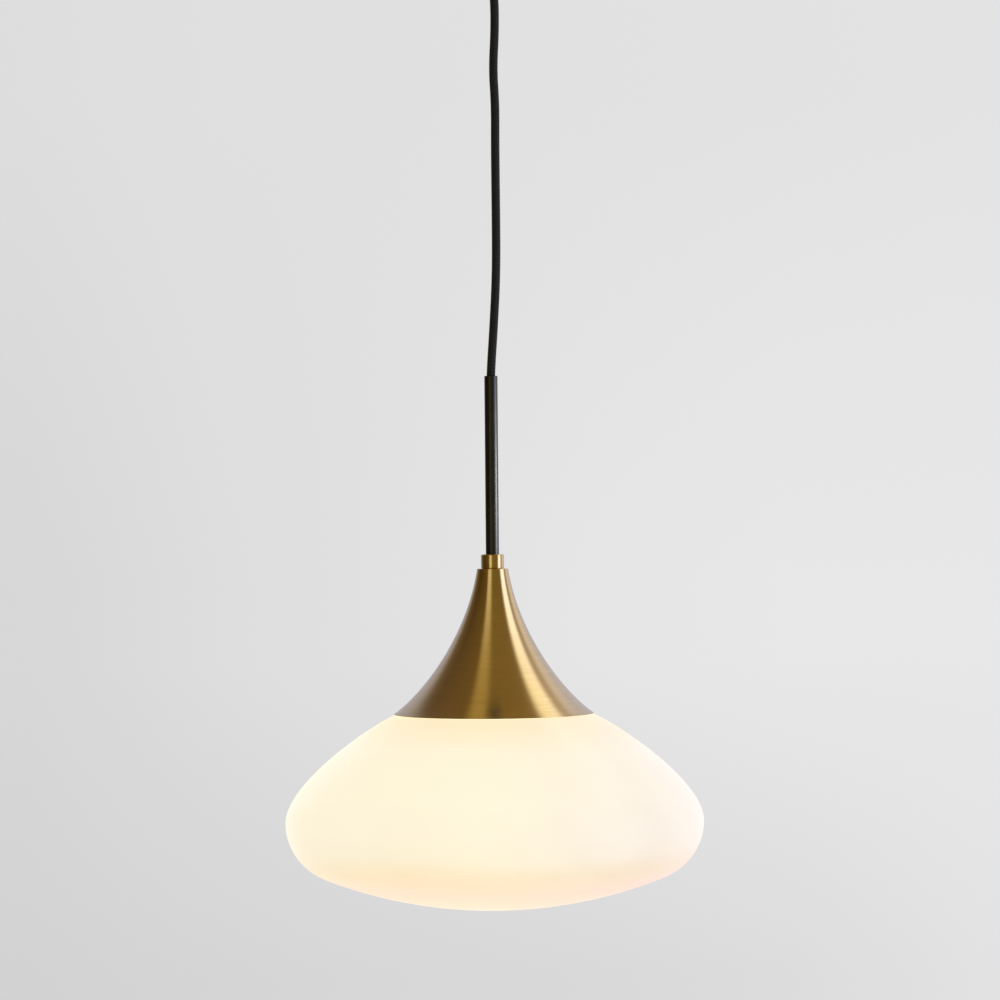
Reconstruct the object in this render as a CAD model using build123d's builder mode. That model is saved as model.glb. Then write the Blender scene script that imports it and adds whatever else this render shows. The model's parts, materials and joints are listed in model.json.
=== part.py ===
from build123d import *

import os
from math import atan2, degrees, pi, radians, tan

os.makedirs("parts", exist_ok=True)

# A pendant ceiling light: a textile cord from a ceiling canopy carries a black stem, a brass
# trumpet cover and a closed opal glass shade. Millimetres. The origin is in the ceiling, at the
# middle of the canopy, with +Z up, so the lamp hangs below it.

# ---- driving dimensions -------------------------------------------------------------------

CORD_RADIUS = 3.25
SHEATH_HOLE = 3.4                   # a hole that the cord's sheath goes through
LAMP_THREAD = 5.0                   # radius of the M10 lamp tube and its nuts
THREAD_HOLE = 5.1                   # a hole that the lamp tube goes through
WIRE_RADIUS = 0.9

CANOPY_RADIUS = 60.0
CANOPY_HEIGHT = 30.0
CANOPY_WALL = 1.0
CANOPY_SCREWS = 100.0               # from one canopy screw to the other
BOX_SCREWS = 69.85                  # from slot to slot, 2 3/4 in ceiling box
BOX_SLOT = 12.0
BOX_SLOT_RADIUS = 2.4
STRAP_LENGTH = 112.0
STRAP_WIDTH = 20.0
STRAP_THICK = 2.0

SWING_Z = -CANOPY_HEIGHT - 14.5     # where the cord bends as the lamp swings
SWING_GAP = 3.0                     # from that point to the cord's end above and below it
CORD_REACH = 335.0                  # from that point down to the stem's top
STEM_TOP = 255.7                    # these heights are above the trumpet's rim
STEM_END = 14.0
RIM_Z = SWING_Z - CORD_REACH - STEM_TOP

TRUMPET_TOP = 109.7
TRUMPET_TOP_RADIUS = 11.8
TRUMPET_RIM_RADIUS = 75.8
TRUMPET_WALL = 1.0
COLLAR_RADIUS = 8.75
COLLAR_TOP = 120.6

GLASS_WALL = 2.6
GLASS_RADIUS = 158.3
GLASS_WIDEST = -81.2
GLASS_BOTTOM = -147.6
GLASS_BOTTOM_CURVE = 350.0
NECK_RADIUS = 41.0
NECK_TOP = 23.5

GALLERY_TOP = 27.5
GALLERY_PLATE = 1.5
GALLERY_RADIUS = 44.0
SPRING_ANGLES = (90, 210, 330)
RIVET_CIRCLE = 28.0

BULB_TOP = -14.8
BULB_RADIUS = 30.0
BULB_BOTTOM = -123.0
E26_CREST = 13.0
E26_PITCH = 25.4 / 7

SCREW_CIRCLE = 9.0                  # of the lampholder's terminals


# ---- helpers --------------------------------------------------------------------------------

def at(height):
    """The frame's height of something that is this far above the trumpet's rim."""
    return RIM_Z + height


def spin(*corners, mode=Mode.ADD):
    """Turns a closed outline of (radius, height) corners about the lamp's axis."""
    with BuildSketch(Plane.XZ) as profile:
        with BuildLine():
            Polyline(*corners, close=True)
        make_face()
    revolve(profile.sketch, axis=Axis.Z, mode=mode)


def ring(inner, outer, low, high, mode=Mode.ADD):
    """A plain turned ring."""
    spin((inner, low), (outer, low), (outer, high), (inner, high), mode=mode)


def rod(radius, low, high, x=0.0, y=0.0, mode=Mode.ADD):
    """An upright round bar."""
    with BuildSketch(Plane.XY.offset(low)) as profile:
        with Locations((x, y)):
            Circle(radius)
    extrude(profile.sketch, amount=high - low, mode=mode)


def hexagon(across_corners, low, high):
    """An upright hexagonal bar."""
    with BuildSketch(Plane.XY.offset(low)) as profile:
        RegularPolygon(across_corners / 2, 6)
    extrude(profile.sketch, amount=high - low)


def radial_plane(angle):
    """The upright plane through the axis at this angle: its x is outwards and its y is up."""
    return Plane.XZ.rotated((0, 0, angle))


def wire_along(*points, radius=WIRE_RADIUS, bend=2.0):
    """A round wire through these points, with each corner bent."""
    with BuildLine() as route:
        FilletPolyline(*points, radius=bend)
    with BuildSketch(Plane(origin=route.wire() @ 0, z_dir=route.wire() % 0)) as profile:
        Circle(radius)
    sweep(profile.sketch, path=route.wire())


def inset(points, gap):
    """Moves a row of (radius, height) control points to its left by a wall's thickness."""
    points = [Vector(*point) for point in points]
    legs = [(after - here).normalized() for here, after in zip(points, points[1:])]
    sides = [Vector(-leg.Y, leg.X) for leg in legs]
    moved = []
    for point, before, after in zip(points, sides[:1] + sides, sides + sides[-1:]):
        moved.append(point + (before + after) * (gap / (1 + before.dot(after))))
    return moved


def save(piece, name):
    """Names a finished piece and writes its file."""
    piece.part.label = name
    export_step(piece.part, f"parts/{name}.step")


# ---- ceiling fitting ------------------------------------------------------------------------

GROUND_SCREW_X = -16.0
SCREW_RADIUS = 2.0
SCREW_HOLE = 2.1

with BuildPart() as crossbar:
    with BuildSketch(Plane.XY.offset(-STRAP_THICK)):
        RectangleRounded(STRAP_LENGTH, STRAP_WIDTH, 5)
        with GridLocations(BOX_SCREWS, 0, 2, 1):
            SlotOverall(BOX_SLOT, 2 * BOX_SLOT_RADIUS, mode=Mode.SUBTRACT)
        with GridLocations(CANOPY_SCREWS, 0, 2, 1):
            Circle(SCREW_HOLE, mode=Mode.SUBTRACT)
        with Locations((GROUND_SCREW_X, 0)):
            Circle(SCREW_HOLE, mode=Mode.SUBTRACT)
    extrude(amount=STRAP_THICK)
save(crossbar, "crossbar")

with BuildPart() as ground_screw:
    rod(SCREW_RADIUS, -STRAP_THICK - 0.5, -0.1, x=GROUND_SCREW_X)
    with BuildSketch(Plane.XY.offset(-STRAP_THICK - 3.2)):
        with Locations((GROUND_SCREW_X, 0)):
            RegularPolygon(4.2, 6)
    extrude(amount=3.2)
    chamfer(ground_screw.faces().sort_by(Axis.Z)[0].edges(), 0.5)
save(ground_screw, "ground_screw")

with BuildPart() as canopy:
    with BuildSketch(Plane.XZ):
        with BuildLine():
            outside = FilletPolyline(
                (THREAD_HOLE, -CANOPY_HEIGHT),
                (CANOPY_RADIUS, -CANOPY_HEIGHT),
                (CANOPY_RADIUS, 0),
                radius=9,
            )
            inside = FilletPolyline(
                (THREAD_HOLE, CANOPY_WALL - CANOPY_HEIGHT),
                (CANOPY_RADIUS - CANOPY_WALL, CANOPY_WALL - CANOPY_HEIGHT),
                (CANOPY_RADIUS - CANOPY_WALL, 0),
                radius=8,
            )
            Line(outside @ 0, inside @ 0)
            Line(outside @ 1, inside @ 1)
        make_face()
    revolve(axis=Axis.Z)
    with Locations((0, 0, -CANOPY_HEIGHT)):
        with GridLocations(CANOPY_SCREWS, 0, 2, 1):
            Cylinder(SCREW_HOLE, 4 * CANOPY_WALL, mode=Mode.SUBTRACT)
save(canopy, "canopy")

with BuildPart() as canopy_screws:
    for side in (-1, 1):
        rod(SCREW_RADIUS, -CANOPY_HEIGHT, -0.3, x=side * CANOPY_SCREWS / 2)
        rod(4.0, -CANOPY_HEIGHT - 2.6, -CANOPY_HEIGHT, x=side * CANOPY_SCREWS / 2)
    heads = canopy_screws.faces().filter_by(Plane.XY).group_by(Axis.Z)[0]
    fillet(heads.edges(), 1.0)
save(canopy_screws, "canopy_screws")

GRIP_FLANGE = -CANOPY_HEIGHT - 5
GRIP_SPIGOT = -CANOPY_HEIGHT - 9.2
GRIP_MOUTH = -CANOPY_HEIGHT - 18
NIPPLE_TOP = -CANOPY_HEIGHT + 12
SPIGOT_RADIUS = 7.0
SEAL_RADIUS = 5.15

with BuildPart() as grip_body:
    hexagon(22, GRIP_FLANGE, -CANOPY_HEIGHT)
    rod(LAMP_THREAD, -CANOPY_HEIGHT, NIPPLE_TOP)
    rod(SPIGOT_RADIUS, GRIP_SPIGOT, GRIP_FLANGE)
    rod(SHEATH_HOLE, GRIP_SPIGOT, NIPPLE_TOP, mode=Mode.SUBTRACT)
    rod(SEAL_RADIUS, GRIP_SPIGOT, GRIP_FLANGE + 2, mode=Mode.SUBTRACT)
save(grip_body, "grip_body")

with BuildPart() as grip_nut:
    hexagon(19, CANOPY_WALL - CANOPY_HEIGHT, CANOPY_WALL - CANOPY_HEIGHT + 4)
    rod(THREAD_HOLE, -CANOPY_HEIGHT, 0, mode=Mode.SUBTRACT)
save(grip_nut, "grip_nut")

with BuildPart() as grip_seal:
    ring(CORD_RADIUS, SEAL_RADIUS - 0.05, GRIP_SPIGOT, GRIP_FLANGE + 1.9)
save(grip_seal, "grip_seal")

# the cap's mouth widens like a bell, so the cord can swing in it
CAP_RADIUS = 9.6
CAP_MOUTH = 6.7

with BuildPart() as grip_cap:
    with BuildSketch(Plane.XZ):
        with BuildLine():
            Polyline(
                (SHEATH_HOLE + 0.05, GRIP_SPIGOT - 1.4),
                (SHEATH_HOLE + 0.05, GRIP_SPIGOT - 0.1),
                (SPIGOT_RADIUS + 0.1, GRIP_SPIGOT - 0.1),
                (SPIGOT_RADIUS + 0.1, GRIP_FLANGE - 0.2),
                (CAP_RADIUS, GRIP_FLANGE - 0.2),
                (CAP_RADIUS, GRIP_MOUTH + 5),
                (CAP_MOUTH + 1.2, GRIP_MOUTH),
                (CAP_MOUTH, GRIP_MOUTH),
            )
            ThreePointArc(
                (CAP_MOUTH, GRIP_MOUTH),
                (5.15, SWING_Z + 0.8),
                (SHEATH_HOLE + 0.05, GRIP_SPIGOT - 1.4),
            )
        make_face()
    revolve(axis=Axis.Z)
    with PolarLocations(CAP_RADIUS + 0.6, 16):
        with Locations((0, 0, GRIP_FLANGE - 5)):
            Cylinder(1.0, 7, mode=Mode.SUBTRACT)
save(grip_cap, "grip_cap")

LEAD_Z = -12.0
LEAD_ANGLES = {"lead_line": -30, "lead_neutral": -150, "lead_earth": -90}
LEAD_START = 2.1
SHEATH_TOP = NIPPLE_TOP + 1
NUT_START = 22.0
NUT_LENGTH = 16.0

with BuildPart() as cord_tail:
    rod(CORD_RADIUS, SWING_Z + SWING_GAP, SHEATH_TOP)
save(cord_tail, "cord_tail")

for lead_name, lead_angle in LEAD_ANGLES.items():
    plane = radial_plane(lead_angle)
    stops = [(LEAD_START, SHEATH_TOP), (LEAD_START, LEAD_Z), (NUT_START + 9, LEAD_Z)]
    with BuildPart() as lead:
        wire_along(*[plane.from_local_coords((r, z, 0)) for r, z in stops])
    save(lead, lead_name)

with BuildPart() as wire_nuts:
    for lead_angle in LEAD_ANGLES.values():
        plane = radial_plane(lead_angle)
        mouth = Plane(
            origin=plane.from_local_coords((NUT_START, LEAD_Z, 0)),
            z_dir=plane.x_dir,
        )
        with BuildSketch(mouth):
            Circle(5.2)
        with BuildSketch(mouth.offset(NUT_LENGTH)):
            Circle(3.4)
        loft()
        with BuildSketch(mouth):
            Circle(1.1)
        extrude(amount=9.1, mode=Mode.SUBTRACT)
save(wire_nuts, "wire_nuts")


# ---- cord -----------------------------------------------------------------------------------

with BuildPart() as cord_stub:
    with Locations((0, 0, SWING_Z)):
        Sphere(SWING_GAP - 0.1)
save(cord_stub, "cord_stub")

# the free cord leaves the stem's top straight up, leans a little to +X and comes back above;
# each point is (x, y, height above the stem's top)
CORD_ROUTE = [
    (0.0, 0.0, 0.0),
    (0.0, 0.0, 13.0),
    (1.7, 0.3, 36.0),
    (4.8, 0.5, 78.0),
    (5.2, -0.4, 128.0),
    (4.7, 0.2, 172.0),
    (5.1, 0.5, 206.0),
    (3.5, 0.2, 232.0),
    (5.3, -0.3, 262.0),
    (5.1, -0.1, 290.0),
    (0.0, 0.0, 318.0),
    (0.0, 0.0, CORD_REACH - SWING_GAP),
]


def bend_radii(points):
    """The largest tangent arc that each corner of a route has room for."""
    radii = []
    for before, here, after in zip(points, points[1:], points[2:]):
        one = Vector(*here) - Vector(*before)
        two = Vector(*after) - Vector(*here)
        turn = one.get_angle(two)
        radii.append(0.45 * min(one.length, two.length) / tan(radians(turn / 2)))
    return radii


stem_top_z = at(STEM_TOP)
route_points = [(x, y, stem_top_z + up) for x, y, up in CORD_ROUTE]
route_radii = bend_radii(route_points)
print("cord radii, mm:", [round(radius) for radius in route_radii])

with BuildPart() as cord:
    with BuildLine() as cord_line:
        FilletPolyline(*route_points, radius=route_radii)
    with BuildSketch(Plane(origin=cord_line.wire() @ 0, z_dir=cord_line.wire() % 0)):
        Circle(CORD_RADIUS)
    sweep(path=cord_line.wire())
cord_length = cord_line.wire().length
print(f"cord length {cord_length:.1f} mm, volume {cord.part.volume:.0f} mm3, "
      f"section times length {pi * CORD_RADIUS ** 2 * cord_length:.0f} mm3")
save(cord, "cord")

SHEATH_END = 6.0

with BuildPart() as cord_in_stem:
    rod(CORD_RADIUS, at(SHEATH_END), stem_top_z)
save(cord_in_stem, "cord_in_stem")

with BuildPart() as cord_stop:
    ring(CORD_RADIUS, 6.6, at(SHEATH_END + 2), at(STEM_END - 0.2))
    chamfer(cord_stop.faces().sort_by(Axis.Z)[0].edges().sort_by(SortBy.RADIUS)[-1], 0.8)
save(cord_stop, "cord_stop")


# ---- stem and gallery -----------------------------------------------------------------------

with BuildPart() as stem:
    ring(LAMP_THREAD - 1, LAMP_THREAD, at(STEM_END), at(STEM_TOP))
    chamfer(stem.faces().sort_by(Axis.Z)[-1].edges(), 0.25)
save(stem, "stem")

NUT_TOP = GALLERY_TOP + 4
SPIGOT_END = 105.9

with BuildPart() as cover_spacer:
    ring(THREAD_HOLE, 6.6, at(NUT_TOP + 0.1), at(SPIGOT_END - 0.4))
save(cover_spacer, "cover_spacer")

with BuildPart() as gallery_nut:
    hexagon(19, at(GALLERY_TOP), at(NUT_TOP))
    rod(THREAD_HOLE, at(GALLERY_TOP), at(NUT_TOP), mode=Mode.SUBTRACT)
save(gallery_nut, "gallery_nut")

RIVET_RADIUS = 1.5
RIVET_HOLE = 1.6
PLATE_Z = GALLERY_TOP - GALLERY_PLATE
SKIRT_END = 13.5
SKIRT_WALL = 1.2

with BuildPart() as gallery:
    with BuildSketch(Plane.XZ):
        with BuildLine():
            outside = FilletPolyline(
                (THREAD_HOLE, at(GALLERY_TOP)),
                (GALLERY_RADIUS, at(GALLERY_TOP)),
                (GALLERY_RADIUS, at(SKIRT_END)),
                radius=3,
            )
            inside = FilletPolyline(
                (THREAD_HOLE, at(PLATE_Z)),
                (GALLERY_RADIUS - SKIRT_WALL, at(PLATE_Z)),
                (GALLERY_RADIUS - SKIRT_WALL, at(SKIRT_END)),
                radius=1.6,
            )
            Line(outside @ 0, inside @ 0)
            Line(outside @ 1, inside @ 1)
        make_face()
    revolve(axis=Axis.Z)
    with Locations((0, 0, at(GALLERY_TOP))):
        with PolarLocations(RIVET_CIRCLE, 3, start_angle=SPRING_ANGLES[0]):
            Cylinder(RIVET_HOLE, 4, mode=Mode.SUBTRACT)
        with PolarLocations(22, 6, start_angle=SPRING_ANGLES[0] + 30):
            Cylinder(2.5, 4, mode=Mode.SUBTRACT)
save(gallery, "gallery")

with BuildPart() as lock_washer:
    ring(THREAD_HOLE, 7.4, at(PLATE_Z - 1), at(PLATE_Z))
    with Locations((0, 0, at(PLATE_Z - 0.5))):
        with PolarLocations(7.8, 12):
            Box(1.6, 1.4, 1.0)
save(lock_washer, "lock_washer")

with BuildPart() as neck_gasket:
    ring(36.6, GALLERY_RADIUS - SKIRT_WALL - 1.8, at(NECK_TOP + 0.5), at(PLATE_Z))
save(neck_gasket, "neck_gasket")

SPRING_THICK = 0.6
SPRING_WIDTH = 10.0

for number, angle in enumerate(SPRING_ANGLES, start=1):
    plane = radial_plane(angle)
    foot = PLATE_Z - SPRING_THICK / 2
    with BuildPart() as glass_spring:
        with BuildSketch(plane):
            with BuildLine():
                FilletPolyline(
                    (24, at(foot)),
                    (33.5, at(foot)),
                    (35.2, at(21)),
                    (37.2, at(15.5)),
                    (33.6, at(8)),
                    radius=1.5,
                )
            trace(line_width=SPRING_THICK)
        extrude(amount=SPRING_WIDTH / 2, both=True)
        with Locations(plane.from_local_coords((RIVET_CIRCLE, at(PLATE_Z), 0))):
            Cylinder(RIVET_HOLE, 4, mode=Mode.SUBTRACT)
    save(glass_spring, f"glass_spring_{number}")

with BuildPart() as spring_rivets:
    for angle in SPRING_ANGLES:
        centre = radial_plane(angle).from_local_coords((RIVET_CIRCLE, 0, 0))
        foot_z = at(PLATE_Z - SPRING_THICK)
        rod(RIVET_RADIUS, foot_z - 0.8, at(GALLERY_TOP + 0.8), x=centre.X, y=centre.Y)
        rod(2.7, foot_z - 0.8, foot_z, x=centre.X, y=centre.Y)
        rod(2.7, at(GALLERY_TOP), at(GALLERY_TOP + 0.8), x=centre.X, y=centre.Y)
save(spring_rivets, "spring_rivets")


# ---- lampholder -----------------------------------------------------------------------------

HOLDER_RADIUS = 20.5
HOLDER_END = -40.0
CAP_TOP = PLATE_Z - 1
CAP_END = -7.0
INSERT_TOP = -5.0
INSERT_END = -12.0
INSERT_RADIUS = 18.2
CONTACT_WIDTH = 4.0

with BuildPart() as lampholder_cap:
    spin(
        (THREAD_HOLE, at(CAP_TOP)),
        (8.0, at(CAP_TOP)),
        (8.0, at(20)),
        (HOLDER_RADIUS, at(12)),
        (HOLDER_RADIUS, at(CAP_END)),
        (HOLDER_RADIUS - 2, at(CAP_END)),
        (HOLDER_RADIUS - 2, at(11)),
        (7.4, at(18)),
        (THREAD_HOLE, at(18)),
    )
    shoulder = lampholder_cap.edges().filter_by(GeomType.CIRCLE)
    fillet(shoulder.filter_by(lambda e: abs(e.radius - HOLDER_RADIUS) < 0.01).sort_by(Axis.Z)[-1], 2)
save(lampholder_cap, "lampholder_cap")

with BuildPart() as lampholder_insert:
    rod(INSERT_RADIUS, at(INSERT_END), at(INSERT_TOP))
    with Locations((0, 0, at(INSERT_TOP))):
        with PolarLocations(SCREW_CIRCLE, 4):
            Cylinder(1.6, 12, mode=Mode.SUBTRACT)
    chamfer(lampholder_insert.faces().sort_by(Axis.Z)[-1].edges().sort_by(SortBy.RADIUS)[-1], 0.8)
save(lampholder_insert, "lampholder_insert")

with BuildPart() as lampholder_body:
    spin(
        (INSERT_RADIUS + 0.1, at(CAP_END - 0.2)),
        (HOLDER_RADIUS, at(CAP_END - 0.2)),
        (HOLDER_RADIUS, at(HOLDER_END + 4)),
        (HOLDER_RADIUS - 1.5, at(HOLDER_END)),
        (14.8, at(HOLDER_END)),
        (14.8, at(HOLDER_END + 2)),
        (16.5, at(HOLDER_END + 2)),
        (16.5, at(INSERT_END - 0.1)),
        (INSERT_RADIUS + 0.1, at(INSERT_END - 0.1)),
    )
    with PolarLocations(HOLDER_RADIUS + 0.9, 24):
        with Locations((0, 0, at(-20))):
            Cylinder(1.4, 18, mode=Mode.SUBTRACT)
save(lampholder_body, "lampholder_body")

with BuildPart() as screw_shell:
    spin(
        (6.0, at(INSERT_END)),
        (13.9, at(INSERT_END)),
        (13.9, at(HOLDER_END + 4)),
        (13.5, at(HOLDER_END + 4)),
        (13.5, at(INSERT_END - 0.4)),
        (6.0, at(INSERT_END - 0.4)),
    )
save(screw_shell, "screw_shell")

with BuildPart() as centre_contact:
    with BuildSketch(Plane.XZ):
        with BuildLine():
            FilletPolyline(
                (-5.2, at(INSERT_END - 0.25)),
                (-2.4, at(INSERT_END - 0.25)),
                (0.2, at(BULB_TOP + 0.5)),
                (3.2, at(BULB_TOP + 1.4)),
                radius=0.8,
            )
        trace(line_width=0.4)
    extrude(amount=CONTACT_WIDTH / 2, both=True)
save(centre_contact, "centre_contact")


def terminal_screw(x, y):
    """A cheese-headed screw in the lampholder's insert."""
    rod(1.5, at(INSERT_TOP - 5), at(INSERT_TOP), x=x, y=y)
    rod(2.7, at(INSERT_TOP), at(INSERT_TOP + 2), x=x, y=y)


with BuildPart() as terminal_screws:
    terminal_screw(-SCREW_CIRCLE, 0)
    terminal_screw(SCREW_CIRCLE, 0)
save(terminal_screws, "terminal_screws")

with BuildPart() as earth_screw:
    terminal_screw(0, SCREW_CIRCLE)
save(earth_screw, "earth_screw")

for wire_name, angle in {"wire_line": 180, "wire_neutral": 0, "wire_earth": 90}.items():
    plane = radial_plane(angle)
    stops = [
        (1.7, at(SHEATH_END)),
        (1.7, at(1.5)),
        (SCREW_CIRCLE, at(1.5)),
        (SCREW_CIRCLE, at(INSERT_TOP + 2)),
    ]
    with BuildPart() as wire:
        wire_along(*[plane.from_local_coords((r, z, 0)) for r, z in stops])
    save(wire, wire_name)


# ---- trumpet cover --------------------------------------------------------------------------

SPIGOT_FIT = 5.6
COLLAR_NUT_TOP = TRUMPET_TOP - TRUMPET_WALL
COLLAR_SCREW_HEIGHT = (TRUMPET_TOP + COLLAR_TOP) / 2

trumpet_outside = [
    (TRUMPET_TOP_RADIUS, at(TRUMPET_TOP)),
    (19.75, at(59.0)),
    (53.3, at(15.8)),
    (TRUMPET_RIM_RADIUS, at(0)),
]
trumpet_inside = inset(trumpet_outside, -TRUMPET_WALL)
# the wall ends level with the rim, and under the flat top
trumpet_inside[0] = (TRUMPET_TOP_RADIUS - TRUMPET_WALL, at(COLLAR_NUT_TOP))
trumpet_inside[-1] = (TRUMPET_RIM_RADIUS - 1.75 * TRUMPET_WALL, at(0))

with BuildPart() as trumpet:
    with BuildSketch(Plane.XZ):
        with BuildLine():
            Bezier(*trumpet_outside)
            Bezier(*trumpet_inside)
            Line(trumpet_outside[-1], trumpet_inside[-1])
            Polyline(
                trumpet_outside[0],
                (SPIGOT_FIT, at(TRUMPET_TOP)),
                (SPIGOT_FIT, at(COLLAR_NUT_TOP)),
                trumpet_inside[0],
            )
        make_face()
    revolve(axis=Axis.Z)
save(trumpet, "trumpet")

with BuildPart() as collar:
    spin(
        (THREAD_HOLE, at(SPIGOT_END)),
        (SPIGOT_FIT - 0.1, at(SPIGOT_END)),
        (SPIGOT_FIT - 0.1, at(TRUMPET_TOP)),
        (COLLAR_RADIUS, at(TRUMPET_TOP)),
        (COLLAR_RADIUS, at(COLLAR_TOP)),
        (THREAD_HOLE, at(COLLAR_TOP)),
    )
    chamfer(collar.edges().filter_by(lambda e: e.length > 50).sort_by(Axis.Z), 0.7)
    with BuildSketch(Plane.XZ):
        with Locations((0, at(COLLAR_SCREW_HEIGHT))):
            Circle(1.6)
    extrude(amount=-COLLAR_RADIUS - 1, mode=Mode.SUBTRACT)
save(collar, "collar")

with BuildPart() as collar_nut:
    ring(SPIGOT_FIT, 9.4, at(SPIGOT_END), at(COLLAR_NUT_TOP))
save(collar_nut, "collar_nut")

with BuildPart() as collar_screw:
    with BuildSketch(Plane.XZ.offset(-LAMP_THREAD - 0.15)):
        with Locations((0, at(COLLAR_SCREW_HEIGHT))):
            Circle(1.5)
    extrude(amount=-3.0)
    with BuildSketch(Plane.XZ.offset(-LAMP_THREAD - 3.15)):
        with Locations((0, at(COLLAR_SCREW_HEIGHT))):
            RegularPolygon(0.8, 6)
    extrude(amount=1.5, mode=Mode.SUBTRACT)
save(collar_screw, "collar_screw")


# ---- glass shade ----------------------------------------------------------------------------

# the bottom is a shallow dome that a tighter arc joins to the widest ring
dome_centre = GLASS_BOTTOM + GLASS_BOTTOM_CURVE
rise = dome_centre - GLASS_WIDEST
corner_radius = (GLASS_BOTTOM_CURVE**2 - GLASS_RADIUS**2 - rise**2) / (
    2 * (GLASS_BOTTOM_CURVE - GLASS_RADIUS)
)
dome_angle = degrees(atan2(GLASS_RADIUS - corner_radius, rise))
NECK_FOOT = 14.0
BEAD_DEPTH = 1.9
BEAD_HEIGHT = 2.7
# control points of the flank, then of the shoulder, which starts just under the trumpet's rim
glass_outside = [
    (GLASS_RADIUS, at(GLASS_WIDEST)),
    (GLASS_RADIUS, at(-55.0)),
    (104.0, at(-14.6)),
    (75.9, at(-0.85)),
    (68.0, at(0.8)),
    (NECK_RADIUS, at(2.5)),
    (NECK_RADIUS, at(NECK_FOOT)),
]
glass_inside = inset(glass_outside, GLASS_WALL)


def shade_outline(gap, controls):
    """One side of the glass, this far in from the outside: dome, corner, flank, shoulder, neck."""
    dome = JernArc((0, at(GLASS_BOTTOM) + gap), (1, 0), GLASS_BOTTOM_CURVE - gap, dome_angle)
    corner = JernArc(dome @ 1, dome % 1, corner_radius - gap, 90 - dome_angle)
    flank = Bezier(*controls[:4])
    shoulder = Bezier(*controls[3:])
    neck = Line(controls[-1], (NECK_RADIUS - gap, at(NECK_TOP)))
    return [dome, corner, flank, shoulder, neck]


with BuildPart() as glass_shade:
    with BuildSketch(Plane.XZ):
        with BuildLine():
            add(shade_outline(0, glass_outside))
            add(shade_outline(GLASS_WALL, glass_inside))
            Line((0, at(GLASS_BOTTOM)), (0, at(GLASS_BOTTOM) + GLASS_WALL))
            Line((NECK_RADIUS, at(NECK_TOP)), (NECK_RADIUS - GLASS_WALL, at(NECK_TOP)))
        make_face()
    revolve(axis=Axis.Z)
    ring(
        NECK_RADIUS - GLASS_WALL - BEAD_DEPTH,
        NECK_RADIUS - GLASS_WALL + 0.5,
        at(NECK_TOP - BEAD_HEIGHT),
        at(NECK_TOP),
    )
save(glass_shade, "glass_shade")


# ---- bulb -----------------------------------------------------------------------------------

CAP_SHELL_TOP = BULB_TOP - 3.6
CAP_SHELL_END = HOLDER_END - 1.0
CAP_SHELL_WALL = 0.6
TIP_RADIUS = 4.6
GLOBE_Z = BULB_BOTTOM + BULB_RADIUS
GLOBE_JOIN = GLOBE_Z + 15
BULB_WALL = 1.5

with BuildPart() as bulb_tip:
    rod(TIP_RADIUS, at(BULB_TOP - 2), at(BULB_TOP))
    fillet(bulb_tip.faces().sort_by(Axis.Z)[-1].edges(), 1.4)
save(bulb_tip, "bulb_tip")

with BuildPart() as bulb_insulator:
    spin(
        (TIP_RADIUS + 0.2, at(BULB_TOP - 1.6)),
        (TIP_RADIUS + 0.8, at(BULB_TOP - 1.2)),
        (9.4, at(CAP_SHELL_TOP)),
        (9.4, at(CAP_SHELL_TOP - 2)),
        (1.2, at(CAP_SHELL_TOP - 2)),
        (1.2, at(BULB_TOP - 2.2)),
        (TIP_RADIUS + 0.2, at(BULB_TOP - 2.2)),
    )
save(bulb_insulator, "bulb_insulator")

with BuildPart() as bulb_cap:
    spin(
        (9.5, at(CAP_SHELL_TOP)),
        (E26_CREST - 0.6, at(CAP_SHELL_TOP - 1.6)),
        (E26_CREST, at(CAP_SHELL_TOP - 2.6)),
        (E26_CREST, at(CAP_SHELL_END)),
        (E26_CREST - 1.6, at(CAP_SHELL_END)),
        (E26_CREST - 1.6, at(CAP_SHELL_TOP - 2.6)),
        (9.5, at(CAP_SHELL_TOP - 1)),
    )
    for turn in range(5):
        with Locations((0, 0, at(CAP_SHELL_TOP - 4.6 - turn * E26_PITCH))):
            Torus(E26_CREST + 0.5, 1.2, mode=Mode.SUBTRACT)
save(bulb_cap, "bulb_cap")

with BuildPart() as bulb_housing:
    with BuildSketch(Plane.XZ):
        with BuildLine():
            Line((E26_CREST + 1.8, at(CAP_SHELL_END - 0.1)), (11.5, at(CAP_SHELL_END - 0.1)))
            Bezier(
                (E26_CREST + 1.8, at(CAP_SHELL_END - 0.1)),
                (15.5, at(CAP_SHELL_END - 12)),
                (20.5, at(GLOBE_JOIN + 9)),
                (26.0, at(GLOBE_JOIN)),
            )
            Line((26.0, at(GLOBE_JOIN)), (23.6, at(GLOBE_JOIN)))
            Bezier(
                (23.6, at(GLOBE_JOIN)),
                (18.5, at(GLOBE_JOIN + 9)),
                (12.5, at(CAP_SHELL_END - 10)),
                (11.5, at(CAP_SHELL_END - 0.1)),
            )
        make_face()
    revolve(axis=Axis.Z)
save(bulb_housing, "bulb_housing")

with BuildPart() as bulb_globe:
    with Locations((0, 0, at(GLOBE_Z))):
        Sphere(BULB_RADIUS)
        Sphere(BULB_RADIUS - BULB_WALL, mode=Mode.SUBTRACT)
    split(bisect_by=Plane.XY.offset(at(GLOBE_JOIN)), keep=Keep.BOTTOM)
save(bulb_globe, "bulb_globe")

BOARD_TOP = GLOBE_JOIN + 2.6
BOARD_THICK = 1.4

with BuildPart() as light_board:
    rod(21.5, at(BOARD_TOP - BOARD_THICK), at(BOARD_TOP))
save(light_board, "light_board")

with BuildPart() as light_emitters:
    with Locations((0, 0, at(BOARD_TOP - BOARD_THICK - 0.4))):
        with PolarLocations(14, 12):
            Box(3.2, 2.8, 0.8)
save(light_emitters, "light_emitters")

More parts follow.
